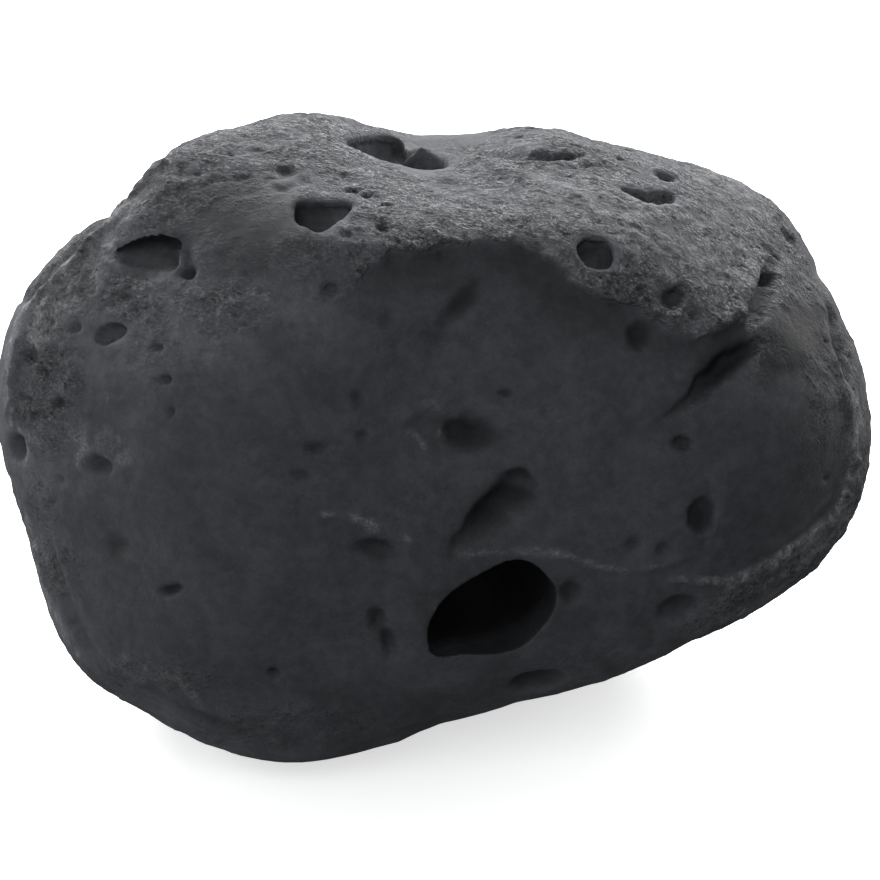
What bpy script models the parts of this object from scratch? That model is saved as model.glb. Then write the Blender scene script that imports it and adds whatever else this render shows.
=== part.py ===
"""A dark, pitted river stone: one solid, in metres, +Z up, resting on the worn flat under it.

The body is a rounded polyhedron. Every worn side of the stone is a facet, given by the way it
faces and how far it lies from the stone's middle, and the facets melt into each other like the
sides of a tumbled stone. Swells and hollows then push the surface out and in, and the larger gas
pits are cut with uneven round cutters.

Two ways of giving a place are used. On the front, a place is (u, v) in mm on the marking-out
sheet: a plane through the stone's middle, square to the line from the middle to the sighting
point, with u to the right and v up. Elsewhere it is an azimuth and an elevation in degrees as
seen from the middle, with azimuth 0 at the front (-Y), 90 at the right end (+X), 180 at the back.
"""

from math import cos, exp, pi, radians, sin, tan

import bmesh
import bpy
from mathutils import Matrix, Vector, noise
from mathutils.bvhtree import BVHTree

MM = 0.001

# The sighting point, from which the marking-out sheet is looked at.
SIGHT_ELEVATION = 22.0
SIGHT_DISTANCE = 620.0

# Facets: name, azimuth, elevation, distance from the middle in mm.
FACETS = (
    ("right_end", 92, -3, 101.5),
    ("right_end_upper", 97, 16, 98),
    ("right_upper", 104, 30, 95),
    ("top_right_back", 137, 61, 78.7),
    ("plateau", 0, 85, 66),
    ("top_left_back", -137, 61, 79),
    ("left_upper", -111, 42, 89),
    ("left_end_upper", -97, 18, 100),
    ("left_end", -84, -14, 97),
    ("left_lower", -77, -29, 95.5),
    ("left_under", -50, -50, 87),
    ("front_under_right", 35, -58, 62.3),
    ("right_under", 60, -55, 69),
    ("right_lower", 80, -22, 94),
    ("front", 5, -8, 60),
    ("front_left", -44, 0, 79),
    ("front_left_shoulder", -35, 40, 77),
    ("front_right", 52, -5, 86),
    ("front_under", 0, -45, 68),
    ("front_left_under", -14, -48, 80),
    ("front_upper", 5, 16, 59.5),
    ("right_shoulder", 54, 53, 77),
    ("base", 0, -90, 66),
    ("back", 172, 8, 65),
    ("back_left", -137, 18, 84),
    ("back_right", 138, -2, 84),
    ("back_upper", -172, 44, 69),
    ("back_under", -176, -42, 68),
    ("back_right_under", 130, -35, 78),
    ("back_left_under", -130, -40, 82),
)
ROUNDING = 16.0  # higher is sharper between the facets

GRID_CUTS = 17  # cuts across each side of the starting cube
BASE_DEPTH = 62.0  # how far under the middle the worn flat lies, in mm

# Swells (+) and hollows (-) on the front and top: name, (u, v), half length, half width, turn in
# degrees from level, height. All in mm.
FRONT_SWELLS = (
    ("near_hump", (-34, 65), 20, 20, -20, 4.5),
    ("left_corner", (-60, 57), 12, 13, 30, 4.5),
    ("far_hump", (24, 64), 14, 10, 0, 3),
    ("saddle", (-4, 66), 12, 16, 0, -6),
    ("front_dish", (10, 18), 26, 20, 0, -2.5),
    ("slanted_groove", (62, 13), 14, 5, 35, -3.5),
    ("groove_lip", (76, 22), 12, 6, 35, 1.5),
    ("right_notch", (87, 21), 8, 4, -60, -3),
    ("left_hollow", (-93, 1), 5, 8, 0, -2),
    ("triangle_above_great_pit", (15, -19), 10, 9, 40, -3),
    ("ledge_hollow", (-13, -25), 9, 4, 0, -1.5),
    ("scar", (0, 0), 8, 6, 20, -1.2),
    ("lower_left_corner", (-74, -50), 12, 10, -50, 2.5),
    ("foot_of_front", (-33, -65), 20, 14, 0, 5),
    ("under_great_pit", (22, -54), 16, 5, 20, -1.5),
    ("lower_right_lip", (74, -26), 20, 4, 38, 1.5),
)

# The same elsewhere: name, azimuth, elevation, half length, half width, turn, height.
OTHER_SWELLS = (
    ("back_dish", 170, 15, 28, 18, 20, -3),
    ("back_swelling", -150, -5, 20, 16, 0, 2.5),
    ("back_groove", 145, -10, 26, 6, -50, -3),
    ("back_shoulder", 195, 48, 22, 12, 10, 2),
    ("right_end_dish", 105, 5, 14, 12, 0, -2),
    ("left_end_dish", -105, -2, 16, 12, 30, -2.5),
    ("far_left_shoulder", -125, 35, 16, 12, 0, 2),
    ("under_dish", 180, -50, 20, 12, 0, -2.5),
    ("far_saddle", 183, 71, 13, 8, 0, -3.2),
    ("far_right_dip", 112, 56, 13, 10, 0, -2),
)

# Gas pits on the front and top: name, (u, v), half length, half width, depth, turn. All in mm.
FRONT_PITS = (
    ("great_pit", (11.5, -37.5), 14.2, 10.6, 30, 22),
    ("crown_slot", (-25.7, 49.5), 6.4, 3.2, 5, 0),
    ("left_slot", (-64, 42), 7.6, 4.0, 6, 8),
    ("left_slot_notch", (-55.7, 39), 2.2, 3.2, 3, 0),
    ("ring_pit", (-72.6, 23.5), 3.4, 2.5, 2.5, 0),
    ("ridge_crater", (-10, 63.5), 10, 5.5, 5, -8),
    ("plateau_pit", (34.5, 41.5), 4.4, 4.0, 6, 0),
    ("plateau_dent", (51.7, 31.5), 3.4, 2.6, 2, 0),
    ("edge_pit", (44, 23), 2.8, 3.4, 3, 0),
    ("far_slot", (44, 55.5), 6.5, 2.6, 3.5, -5),
    ("groove_pit", (66, 16), 4.5, 2.4, 3, 40),
    ("triangle_pit", (20, -10), 4.6, 2.4, 3, 40),
    ("scar_pit", (-2, 2), 2.4, 1.8, 2, 0),
    ("right_oval", (58, -17), 3.0, 3.8, 3.5, 0),
    ("small_round", (53, -0.7), 2.3, 2.0, 1.8, 0),
    ("left_speck_pit", (-59, -33), 3.6, 1.6, 2, 10),
    ("left_band_pit", (-75, -6), 3.3, 2.3, 2.2, 0),
    ("foot_notch", (-12.5, -42), 2.6, 5.2, 2.5, 10),
    ("under_pit", (22, -53), 6.0, 2.6, 2.5, 12),
    ("lower_right_dent", (53, -37.5), 5.0, 3.2, 1.5, 20),
    ("lower_left_pit", (-36, -52), 1.6, 1.5, 1.5, 0),
)

# The same elsewhere: name, azimuth, elevation, half length, half width, depth, turn.
OTHER_PITS = (
    ("back_great_pit", 188, 8, 9.0, 6.5, 11, -25),
    ("back_upper_slot", 165, 42, 7.0, 3.4, 4.5, 15),
    ("back_round", 214, 24, 4.4, 4.0, 5, 0),
    ("back_right_oval", 142, 12, 5.2, 3.4, 4, 60),
    ("back_low_slot", 172, -28, 8.0, 3.2, 4.5, -12),
    ("back_left_pit", 236, -14, 4.8, 3.6, 4, 30),
    ("right_end_pit", 96, -2, 4.6, 3.8, 4.5, 0),
    ("right_end_slot", 108, 30, 5.6, 2.6, 3, -30),
    ("right_low_pit", 82, -34, 4.0, 3.2, 3.5, 20),
    ("left_end_pit", -94, 12, 4.8, 3.6, 4.5, 20),
    ("left_low_slot", -108, -24, 6.4, 2.8, 3.5, -20),
    ("far_top_pit", 190, 54, 5.4, 4.0, 4.5, 10),
    ("far_top_slot", 140, 62, 5.0, 2.4, 3, 70),
)

SINK = 0.15  # how far a cutter's middle lies under the surface, as a share of the pit's depth
WOBBLE = 0.14  # unevenness of a cutter, as a share of its size
# Cutters up to this half length in mm: segments round the mouth, rings down the pit.
CUTTER_STEPS = ((3.9, 9, 6), (8.5, 14, 8), (99.0, 26, 14))

# Broad unevenness of the whole surface: wavelength and height in mm.
UNEVENNESS = ((48.0, 2.4), (24.0, 0.9))
SEED = 4  # picks one pattern of unevenness, for the body and the cutters

STONE_COLOUR = (0.047, 0.049, 0.053, 1.0)
STONE_ROUGHNESS = 0.8


def facing(azimuth, elevation):
    """The unit vector that a side with this azimuth and elevation faces along."""
    az, el = radians(azimuth), radians(elevation)
    return Vector((sin(az) * cos(el), -cos(az) * cos(el), sin(el)))


SIDES = [(facing(az, el), distance) for _, az, el, distance in FACETS]
SIGHT = facing(0, SIGHT_ELEVATION)
SHEET_UP = facing(180, 90 - SIGHT_ELEVATION)
SHEET_RIGHT = Vector((1, 0, 0))


def reach(direction):
    """How far the rounded polyhedron's surface is from the middle along a direction, in mm."""
    total = 0.0
    for normal, distance in SIDES:
        towards = normal.dot(direction)
        if towards > 0.0:
            total += (towards / distance) ** ROUNDING
    return total ** (-1.0 / ROUNDING)


def clear_scene():
    for obj in list(bpy.data.objects):
        bpy.data.objects.remove(obj, do_unlink=True)


def rounded_body():
    """The rounded polyhedron as a bmesh in mm, with the stone's middle at the origin."""
    bm = bmesh.new()
    bmesh.ops.create_cube(bm, size=2.0)
    bmesh.ops.subdivide_edges(bm, edges=bm.edges, cuts=GRID_CUTS, use_grid_fill=True)
    for vert in bm.verts:
        direction = Vector([tan(c * pi / 4) for c in vert.co]).normalized()
        vert.co = direction * reach(direction)
    bm.normal_update()
    return bm


def sighted(tree, place):
    """Where the sight line through a place on the sheet meets the stone, and the way out there."""
    eye = SIGHT * SIGHT_DISTANCE
    target = SHEET_RIGHT * place[0] + SHEET_UP * place[1]
    spot, normal, _, _ = tree.ray_cast(eye, (target - eye).normalized())
    return spot, normal


def turned_to(tree, azimuth, elevation):
    """The same for a place given by azimuth and elevation."""
    direction = facing(azimuth, elevation)
    spot, normal, _, _ = tree.ray_cast(direction * SIGHT_DISTANCE, -direction)
    return spot, normal


def frame_at(normal, turn):
    """A matrix whose Z is the way out and whose X lies along the surface, turned from level."""
    level = Vector((0, 0, 1)).cross(normal)
    if level.length < 0.05:
        level = Vector((1, 0, 0))
    level.normalize()
    up = normal.cross(level)
    along = level * cos(radians(turn)) + up * sin(radians(turn))
    return Matrix((along, normal.cross(along), normal)).transposed()


def swell(bm, spot, axes, length, width, height):
    inverse = axes.transposed()
    out = axes.col[2]
    for vert in bm.verts:
        x, y, z = inverse @ (vert.co - spot)
        near = exp(-((x / length) ** 2) - (y / width) ** 2 - (z / (length + width)) ** 2)
        if near > 0.001:
            vert.co += out * (height * near * max(0.0, vert.normal.dot(out)))


def add_swells(bm):
    tree = BVHTree.FromBMesh(bm)
    for _, place, length, width, turn, height in FRONT_SWELLS:
        spot, normal = sighted(tree, place)
        swell(bm, spot, frame_at(normal, turn), length, width, height)
    for _, azimuth, elevation, length, width, turn, height in OTHER_SWELLS:
        spot, normal = turned_to(tree, azimuth, elevation)
        swell(bm, spot, frame_at(normal, turn), length, width, height)
    bm.normal_update()


def add_unevenness(bm):
    for vert in bm.verts:
        push = 0.0
        for number, (wavelength, height) in enumerate(UNEVENNESS):
            offset = Vector((SEED * 10.0 + number, 0, 0))
            push += height * noise.noise(vert.co / wavelength + offset)
        vert.co += vert.normal * push
    bm.normal_update()


def flatten_base(bm):
    bmesh.ops.bisect_plane(
        bm,
        geom=bm.verts[:] + bm.edges[:] + bm.faces[:],
        plane_co=(0, 0, -BASE_DEPTH),
        plane_no=(0, 0, -1),
        clear_outer=True,
    )
    rim = [edge for edge in bm.edges if edge.is_boundary]
    bmesh.ops.contextual_create(bm, geom=rim)


def as_object(name, bm):
    mesh = bpy.data.meshes.new(name)
    bm.to_mesh(mesh)
    bm.free()
    return bpy.data.objects.new(name, mesh)


def pit_cutter(name, number, place, length, width, depth):
    """An uneven round cutter, in metres, that leaves a pit with this mouth and depth."""
    bm = bmesh.new()
    segments, rings = next(steps for longest, *steps in CUTTER_STEPS if length <= longest)
    bmesh.ops.create_uvsphere(bm, u_segments=segments, v_segments=rings, radius=1.0)
    offset = Vector((SEED * 10.0 + number, 0, 0))
    for vert in bm.verts:
        vert.co *= 1.0 + WOBBLE * noise.noise(vert.co * 1.3 + offset)
    # The mouth is narrower than the middle of a cutter that lies under the surface.
    spread = 1.0 / (1.0 - SINK**2) ** 0.5
    size = Vector((length * spread, width * spread, depth * (1.0 - SINK)))
    bmesh.ops.scale(bm, vec=size, verts=bm.verts)
    bm.transform(place @ Matrix.Translation((0, 0, -depth * SINK)))
    cutter = as_object(name, bm)
    cutter.hide_render = True
    cutter.display_type = "WIRE"
    return cutter


def add_pit_cutters(bm, to_ground, cutters):
    """One cutter for every pit, standing where the pit's mouth is."""
    tree = BVHTree.FromBMesh(bm)
    mouths = [(pit[0], sighted(tree, pit[1]), pit[2:]) for pit in FRONT_PITS]
    mouths += [(pit[0], turned_to(tree, pit[1], pit[2]), pit[3:]) for pit in OTHER_PITS]
    for number, (name, (spot, normal), (length, width, depth, turn)) in enumerate(mouths):
        place = to_ground @ Matrix.Translation(spot) @ frame_at(normal, turn).to_4x4()
        cutters.objects.link(pit_cutter(name, number, place, length, width, depth))


def onto_ground(bm):
    """The matrix from mm round the middle to metres, with the stone centred and on the ground."""
    xs = [vert.co.x for vert in bm.verts]
    ys = [vert.co.y for vert in bm.verts]
    centre = Vector(((min(xs) + max(xs)) / 2, (min(ys) + max(ys)) / 2, -BASE_DEPTH))
    return Matrix.Scale(MM, 4) @ Matrix.Translation(-centre)


def basalt():
    """The dark grey of the worn stone."""
    material = bpy.data.materials.new("worn basalt")
    material.use_nodes = True
    shader = material.node_tree.nodes["Principled BSDF"]
    shader.inputs["Base Color"].default_value = STONE_COLOUR
    shader.inputs["Roughness"].default_value = STONE_ROUGHNESS
    shader.inputs["Metallic"].default_value = 0.0
    return material


def main():
    clear_scene()
    stones = bpy.data.collections.new("river rock")
    cutters = bpy.data.collections.new("pit cutters")
    for collection in (stones, cutters):
        bpy.context.scene.collection.children.link(collection)
    bm = rounded_body()
    add_swells(bm)
    add_unevenness(bm)
    flatten_base(bm)
    to_ground = onto_ground(bm)
    add_pit_cutters(bm, to_ground, cutters)
    bm.transform(to_ground)
    for face in bm.faces:
        face.smooth = True
    stone = as_object("stone", bm)
    stone.data.materials.append(basalt())
    stones.objects.link(stone)
    pits = stone.modifiers.new("pits", "BOOLEAN")
    pits.operation = "DIFFERENCE"
    pits.solver = "EXACT"
    pits.operand_type = "COLLECTION"
    pits.collection = cutters


main()
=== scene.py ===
"""Finishes the dark, pitted river stone and sets it on a pale studio floor.

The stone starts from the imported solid. Its facets are smoothed away and its outline is trued.
Dents, grooves, ledges and broken edges are worked into the surface, its gas pits are cut again
with their true mouths, and pores, lumps and grain are spread over the parts that water has not
worn smooth. Lengths in the tables are in mm.

Two ways of giving a place are used. On the front and the top it is (u, v) on the marking-out
sheet: a plane through the stone's middle, square to the line from the middle to the sighting
point, with u to the right and v up. Elsewhere it is an azimuth and an elevation in degrees as
seen from the middle, with azimuth 0 at the front (-Y), 90 at the right end, 180 at the back.
"""

from math import cos, pi, radians, sin

import bmesh
import bpy
import numpy as np
from bpy.props import FloatProperty, FloatVectorProperty, IntProperty, PointerProperty
from mathutils import Matrix, Vector, kdtree, noise
from mathutils.bvhtree import BVHTree


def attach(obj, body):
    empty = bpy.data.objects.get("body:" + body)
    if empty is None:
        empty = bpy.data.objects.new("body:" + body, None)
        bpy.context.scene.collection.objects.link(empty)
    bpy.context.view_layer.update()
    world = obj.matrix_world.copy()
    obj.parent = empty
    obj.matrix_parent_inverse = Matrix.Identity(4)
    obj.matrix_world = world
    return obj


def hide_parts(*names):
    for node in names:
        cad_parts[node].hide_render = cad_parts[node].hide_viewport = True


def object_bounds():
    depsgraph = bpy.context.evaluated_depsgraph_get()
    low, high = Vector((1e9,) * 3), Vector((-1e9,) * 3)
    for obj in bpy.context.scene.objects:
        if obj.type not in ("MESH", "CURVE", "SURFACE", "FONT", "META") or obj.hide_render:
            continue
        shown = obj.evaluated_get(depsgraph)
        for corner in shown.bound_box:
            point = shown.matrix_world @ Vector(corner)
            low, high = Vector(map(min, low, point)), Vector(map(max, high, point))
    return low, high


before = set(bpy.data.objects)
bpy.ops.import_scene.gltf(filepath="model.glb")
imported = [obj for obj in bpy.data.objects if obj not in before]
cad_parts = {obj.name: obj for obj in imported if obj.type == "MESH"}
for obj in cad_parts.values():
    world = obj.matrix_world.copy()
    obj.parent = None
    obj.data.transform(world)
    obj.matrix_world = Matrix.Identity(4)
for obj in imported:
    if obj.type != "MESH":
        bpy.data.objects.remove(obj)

bl_info = {
    "name": "River Rock",
    "version": (1, 0, 0),
    "blender": (4, 5, 0),
    "location": "3D View > Sidebar > River Rock",
    "description": "Finishes a dark pitted river stone and the studio floor under it",
    "category": "Object",
}

CAD_BOX = [list(corner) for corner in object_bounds()]
MM = 0.001

# The marking-out sheet.
MIDDLE = np.array((1.26, -5.44, 62.0))
SIGHT_ELEVATION = 22.0
SIGHT_DISTANCE = 620.0


def facing(azimuth, elevation):
    """The unit vector that a side with this azimuth and elevation faces along."""
    az, el = radians(azimuth), radians(elevation)
    return np.array((sin(az) * cos(el), -cos(az) * cos(el), sin(el)))


SIGHT = facing(0, SIGHT_ELEVATION)
SHEET_UP = facing(180, 90 - SIGHT_ELEVATION)
SHEET_RIGHT = np.array((1.0, 0.0, 0.0))
EYE = MIDDLE + SIGHT * SIGHT_DISTANCE
# How squarely a side faces the sighting point where the sheet starts to count, and counts fully.
SEEN = (-0.2, 0.0)

# The size of the even faces at each stage, and how many rounds of smoothing follow.
PLAIN_VOXEL, PLAIN_ROUNDS = 1.1, 30
FINE_VOXEL, FINE_ROUNDS = 0.6, 8
FINISH_VOXEL, FINISH_ROUNDS = 0.5, 2
RIM_ANGLE = radians(30)  # faces that meet at a sharper angle belong to a pit
MOST_TRIANGLES = 195000
DRIFT_SEED = 1  # without it the clock decides where noise_vector takes its three noises from
NOISE_SHIFT = 17.3  # keeps noises with different seeds apart
DRIFTS = ((9.0, 0.6), (2.6, 0.6), (1.1, 0.4))  # how drawn edges stray: wavelength and amount

# The stone's outline as seen from the sighting point: (u, v) on it, and how far it moves out.
OUTLINE_TRIM = (
    (94.5, 0, -0.5), (92, -13, -0.2), (87, -22, -0.9), (79.5, -31, -1.1), (73, -36, -0.9),
    (65, -40, -0.7), (56, -44.5, -1.0), (46, -48, 0.0), (36, -53, 0.5), (26, -55.5, 0.0),
    (17, -58, -1.4), (9, -60.5, -1.3), (0, -63, -1.3), (-5, -64.5, -0.4), (-9, -66, 0.6),
    (-18, -68, 1.0), (-40, -69, 0.5), (-53, -66.5, 0.0), (-61, -62, -1.1), (-66, -59, -1.4),
    (-71, -56, -1.2), (-76, -53.5, -0.2), (-80, -48, 0.9), (-83.5, -43.5, 1.7), (-86, -38, 1.3),
    (-88, -31, 0.1), (-91, -22, -1.3), (-94, -13, -1.3), (-96, -4, -0.6), (-97, 8, 0.0),
    (-95, 22, 0.0), (-89, 35, 0.7), (-80, 45, 0.4), (-76, 49, -0.1), (-70.5, 52, -1.6),
    (-65.5, 57, -2.1), (-62, 62, -0.3), (-57, 65, 0.8), (-50, 67.5, 0.9), (-44, 68.5, 0.0),
    (-31, 72, 0.5), (-24, 72, 0.1), (-19, 71, -0.4), (-12, 69.5, -0.4), (-4, 67.5, -1.0),
    (8, 67.5, -1.5), (15, 68.5, -0.8), (26, 68.5, 0.0), (35, 66, -0.8), (44, 63.5, -0.6),
    (53, 62, -0.6), (62, 58.5, -0.2), (70, 53.5, 0.9), (75, 49.5, 1.4), (79, 44, 0.9),
    (82, 39.5, 0.0), (83.6, 36.5, -1.0), (86, 31, -0.3), (89, 26, -0.9), (92, 16, -0.6),
    (94, 8, -0.8),
)
TRIM_REACH = 9.0  # how far in from the outline the surface follows it
EDGE_ON = (0.5, 0.9)  # how nearly edge-on a side is seen where it starts to follow, and does fully
FOOT = (-38, 22, 13, 3.2)  # the swelling at the foot of the front: x, half length, height, push
FOOT_FRONT = (24.0, 34.0)  # how far forward it starts and is full

# The crest of the ridge that runs over the top, in plan, with the drop behind it.
CREST = (
    (-22, 14, 0.0), (-15, 12.5, 0.8), (-8.6, 11, 2.2), (-3, 8.5, 2.6), (1.3, 5, 2.4),
    (6.6, -3.5, 1.8), (11.7, -12.5, 1.2), (17.7, -19.5, 0.9), (26, -26, 0.6), (34, -32, 0.0),
)
CREST_RUN = 3.5  # how quickly the surface drops behind the crest
CREST_FADE = (9.0, 24.0)  # where it starts and ends coming back
CREST_LIFT = 0.7  # how far the crest itself stands up
CREST_WIDTH = 3.2
OVER_TOP = (0.2, 0.6)  # how far up a side faces where the crest starts and is full

# The smooth, water-worn front: its outline on the sheet, and how far the surface steps in there.
SMOOTH_FACE = (
    (-15, 39, 0.9), (-11, 42, 1.3), (-7.5, 41.5, 1.0), (-4.5, 42, 1.3), (0, 43, 1.4),
    (4.5, 43.5, 1.2), (9, 44.5, 1.0), (13, 44, 1.3), (17.5, 44, 1.5), (22, 42, 1.7),
    (26.5, 39, 1.8), (29.5, 35.5, 1.6), (33, 33, 1.6), (36.5, 31.5, 1.4), (39.5, 30.5, 1.4),
    (44, 29.5, 1.1), (46, 27.5, 1.1), (49, 26, 1.1), (53, 24, 1.1), (57, 23, 1.2),
    (60.5, 24.5, 1.4), (66, 26.5, 1.2), (69, 23, 0.5), (72, 17.5, 0.2), (78, 11, 0.2),
    (84, 8, 0.2), (90, 8.5, 0.3), (92.5, 3, 0.3), (90.4, -7.3, 0.5), (89.5, -14.3, 0.6),
    (85.5, -18.3, 0.8), (79.4, -23, 0.8), (72.4, -27, 0.8), (65, -32, 0.6), (59, -39, 0.3),
    (55, -50, 0.0), (30, -64, 0.0), (10, -72, 0.0), (-15, -80, 0.0), (-42, -80, 0.0),
    (-58, -70, 0.0), (-70, -64, 0.0), (-80, -57, 0.0), (-89, -46, 0.0), (-93, -36, 0.0),
    (-95, -26, 0.0), (-93, -16, 0.0), (-87, -4, 0.0), (-79, 9, 0.0), (-66, 17, 0.0),
    (-50, 22, 0.0), (-37, 27, 0.0), (-27, 31, 0.1), (-20, 35, 0.4),
)
STEP_RUN = 1.5  # the width of that step
STEP_FADE = 17.0  # how far into the face the surface takes to come back
CRISP_STEP = 0.6  # a step at least this high has a crisp edge
SOFT_EDGE = 17.0  # the width of the change from rough to smooth where there is no step
BACK_GRIT = 0.75  # the grain in patches on the back
LEAST_GRIT = 0.2  # the grain on a side that faces level or down, as a share of that on the top
# Places on the sheet that are grainy although they face level: (u, v), half sizes, amount.
GRIT_PATCHES = (
    ((-86, 12), 12, 22, 0.8), ((-66, 25), 12, 9, 0.6), ((-84, 34), 12, 12, 0.7),
    ((86, 10), 9, 28, 0.9), ((76, -27), 18, 7, 1.0), ((-66, -52), 24, 7, 0.5),
    ((-83, -29), 7, 9, 0.55), ((-36, -63), 30, 6, 0.4), ((-88, -20), 6, 22, 0.5),
)
# Places that are smoother than their surroundings: (u, v), half sizes, amount, painted shade.
CALM_PATCHES = (
    ((-42, 46.5), 20, 10.5, 0.85, 0.4), ((3, 66.8), 13, 2.4, 0.9, 0.0),
    ((-32, 37), 18, 6, 0.5, 0.0), ((-3.3, 62.3), 8, 5, 1.0, 0.0),
    ((79.5, 24), 11, 10, 0.8, 0.66), ((-35.5, 56.8), 6, 4, 0.8, 0.0),
)
NO_GRAIN_FROM = (0.9, 2.6)  # the depths under the worn shape between which the grain stops
RIM_BARE = (0.5, 2.0)  # the distances from a pit's rim between which the grain comes back
# Painted shade in a hollow: how dark it is painted, and between which depths under the worn shape
# that comes in.
HOLLOW_SHADE, HOLLOW_SHADE_FROM = 0.42, (0.2, 1.4)
DEEP_HOLLOW_SHADE, DEEP_HOLLOW_SHADE_FROM = 0.2, (1.3, 2.6)
WALL_FROM = (3.4, 4.4)  # from here on down it is a pit's wall, which gets little painted shade
PIT_BOTTOM_SHADE, VOID_FROM = 0.8, (8.0, 16.0)
# Soft patches of painted shade: (u, v), half length, half width, turn, amount.
PAINTED_SHADES = (
    ((10.4, -14.6), 10.5, 4.6, 50, 0.75), ((16.0, -12.0), 6.5, 4.4, -20, 0.55),
    ((63.0, 17.6), 11.5, 4.6, 40, 0.75), ((57.6, -16.7), 5.6, 3.4, 80, 0.6),
    ((7.0, 1.2), 9.5, 5.4, -12, 0.6), ((11, -38), 25, 18, 0, 0.3), ((5, 30), 7.5, 3.4, 48, 0.4),
    ((44, 23), 5.0, 4.2, 0, 0.35), ((-70.8, -23.5), 6, 5, 0, 0.25), ((-59, -33), 5, 2.4, 10, 0.5),
    ((-75, 9), 12, 9, 0, 0.22), ((-47, 55), 15, 8, 0, 0.4), ((80, 24), 9, 9, 0, 0.38),
)
CRUST_WIDTH = 8.0  # the grainy crust along the crisp part of the smooth face's edge
GRIT_FACES_UP = (0.3, 0.85)  # how far up a side faces where the grain starts and is full

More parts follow.
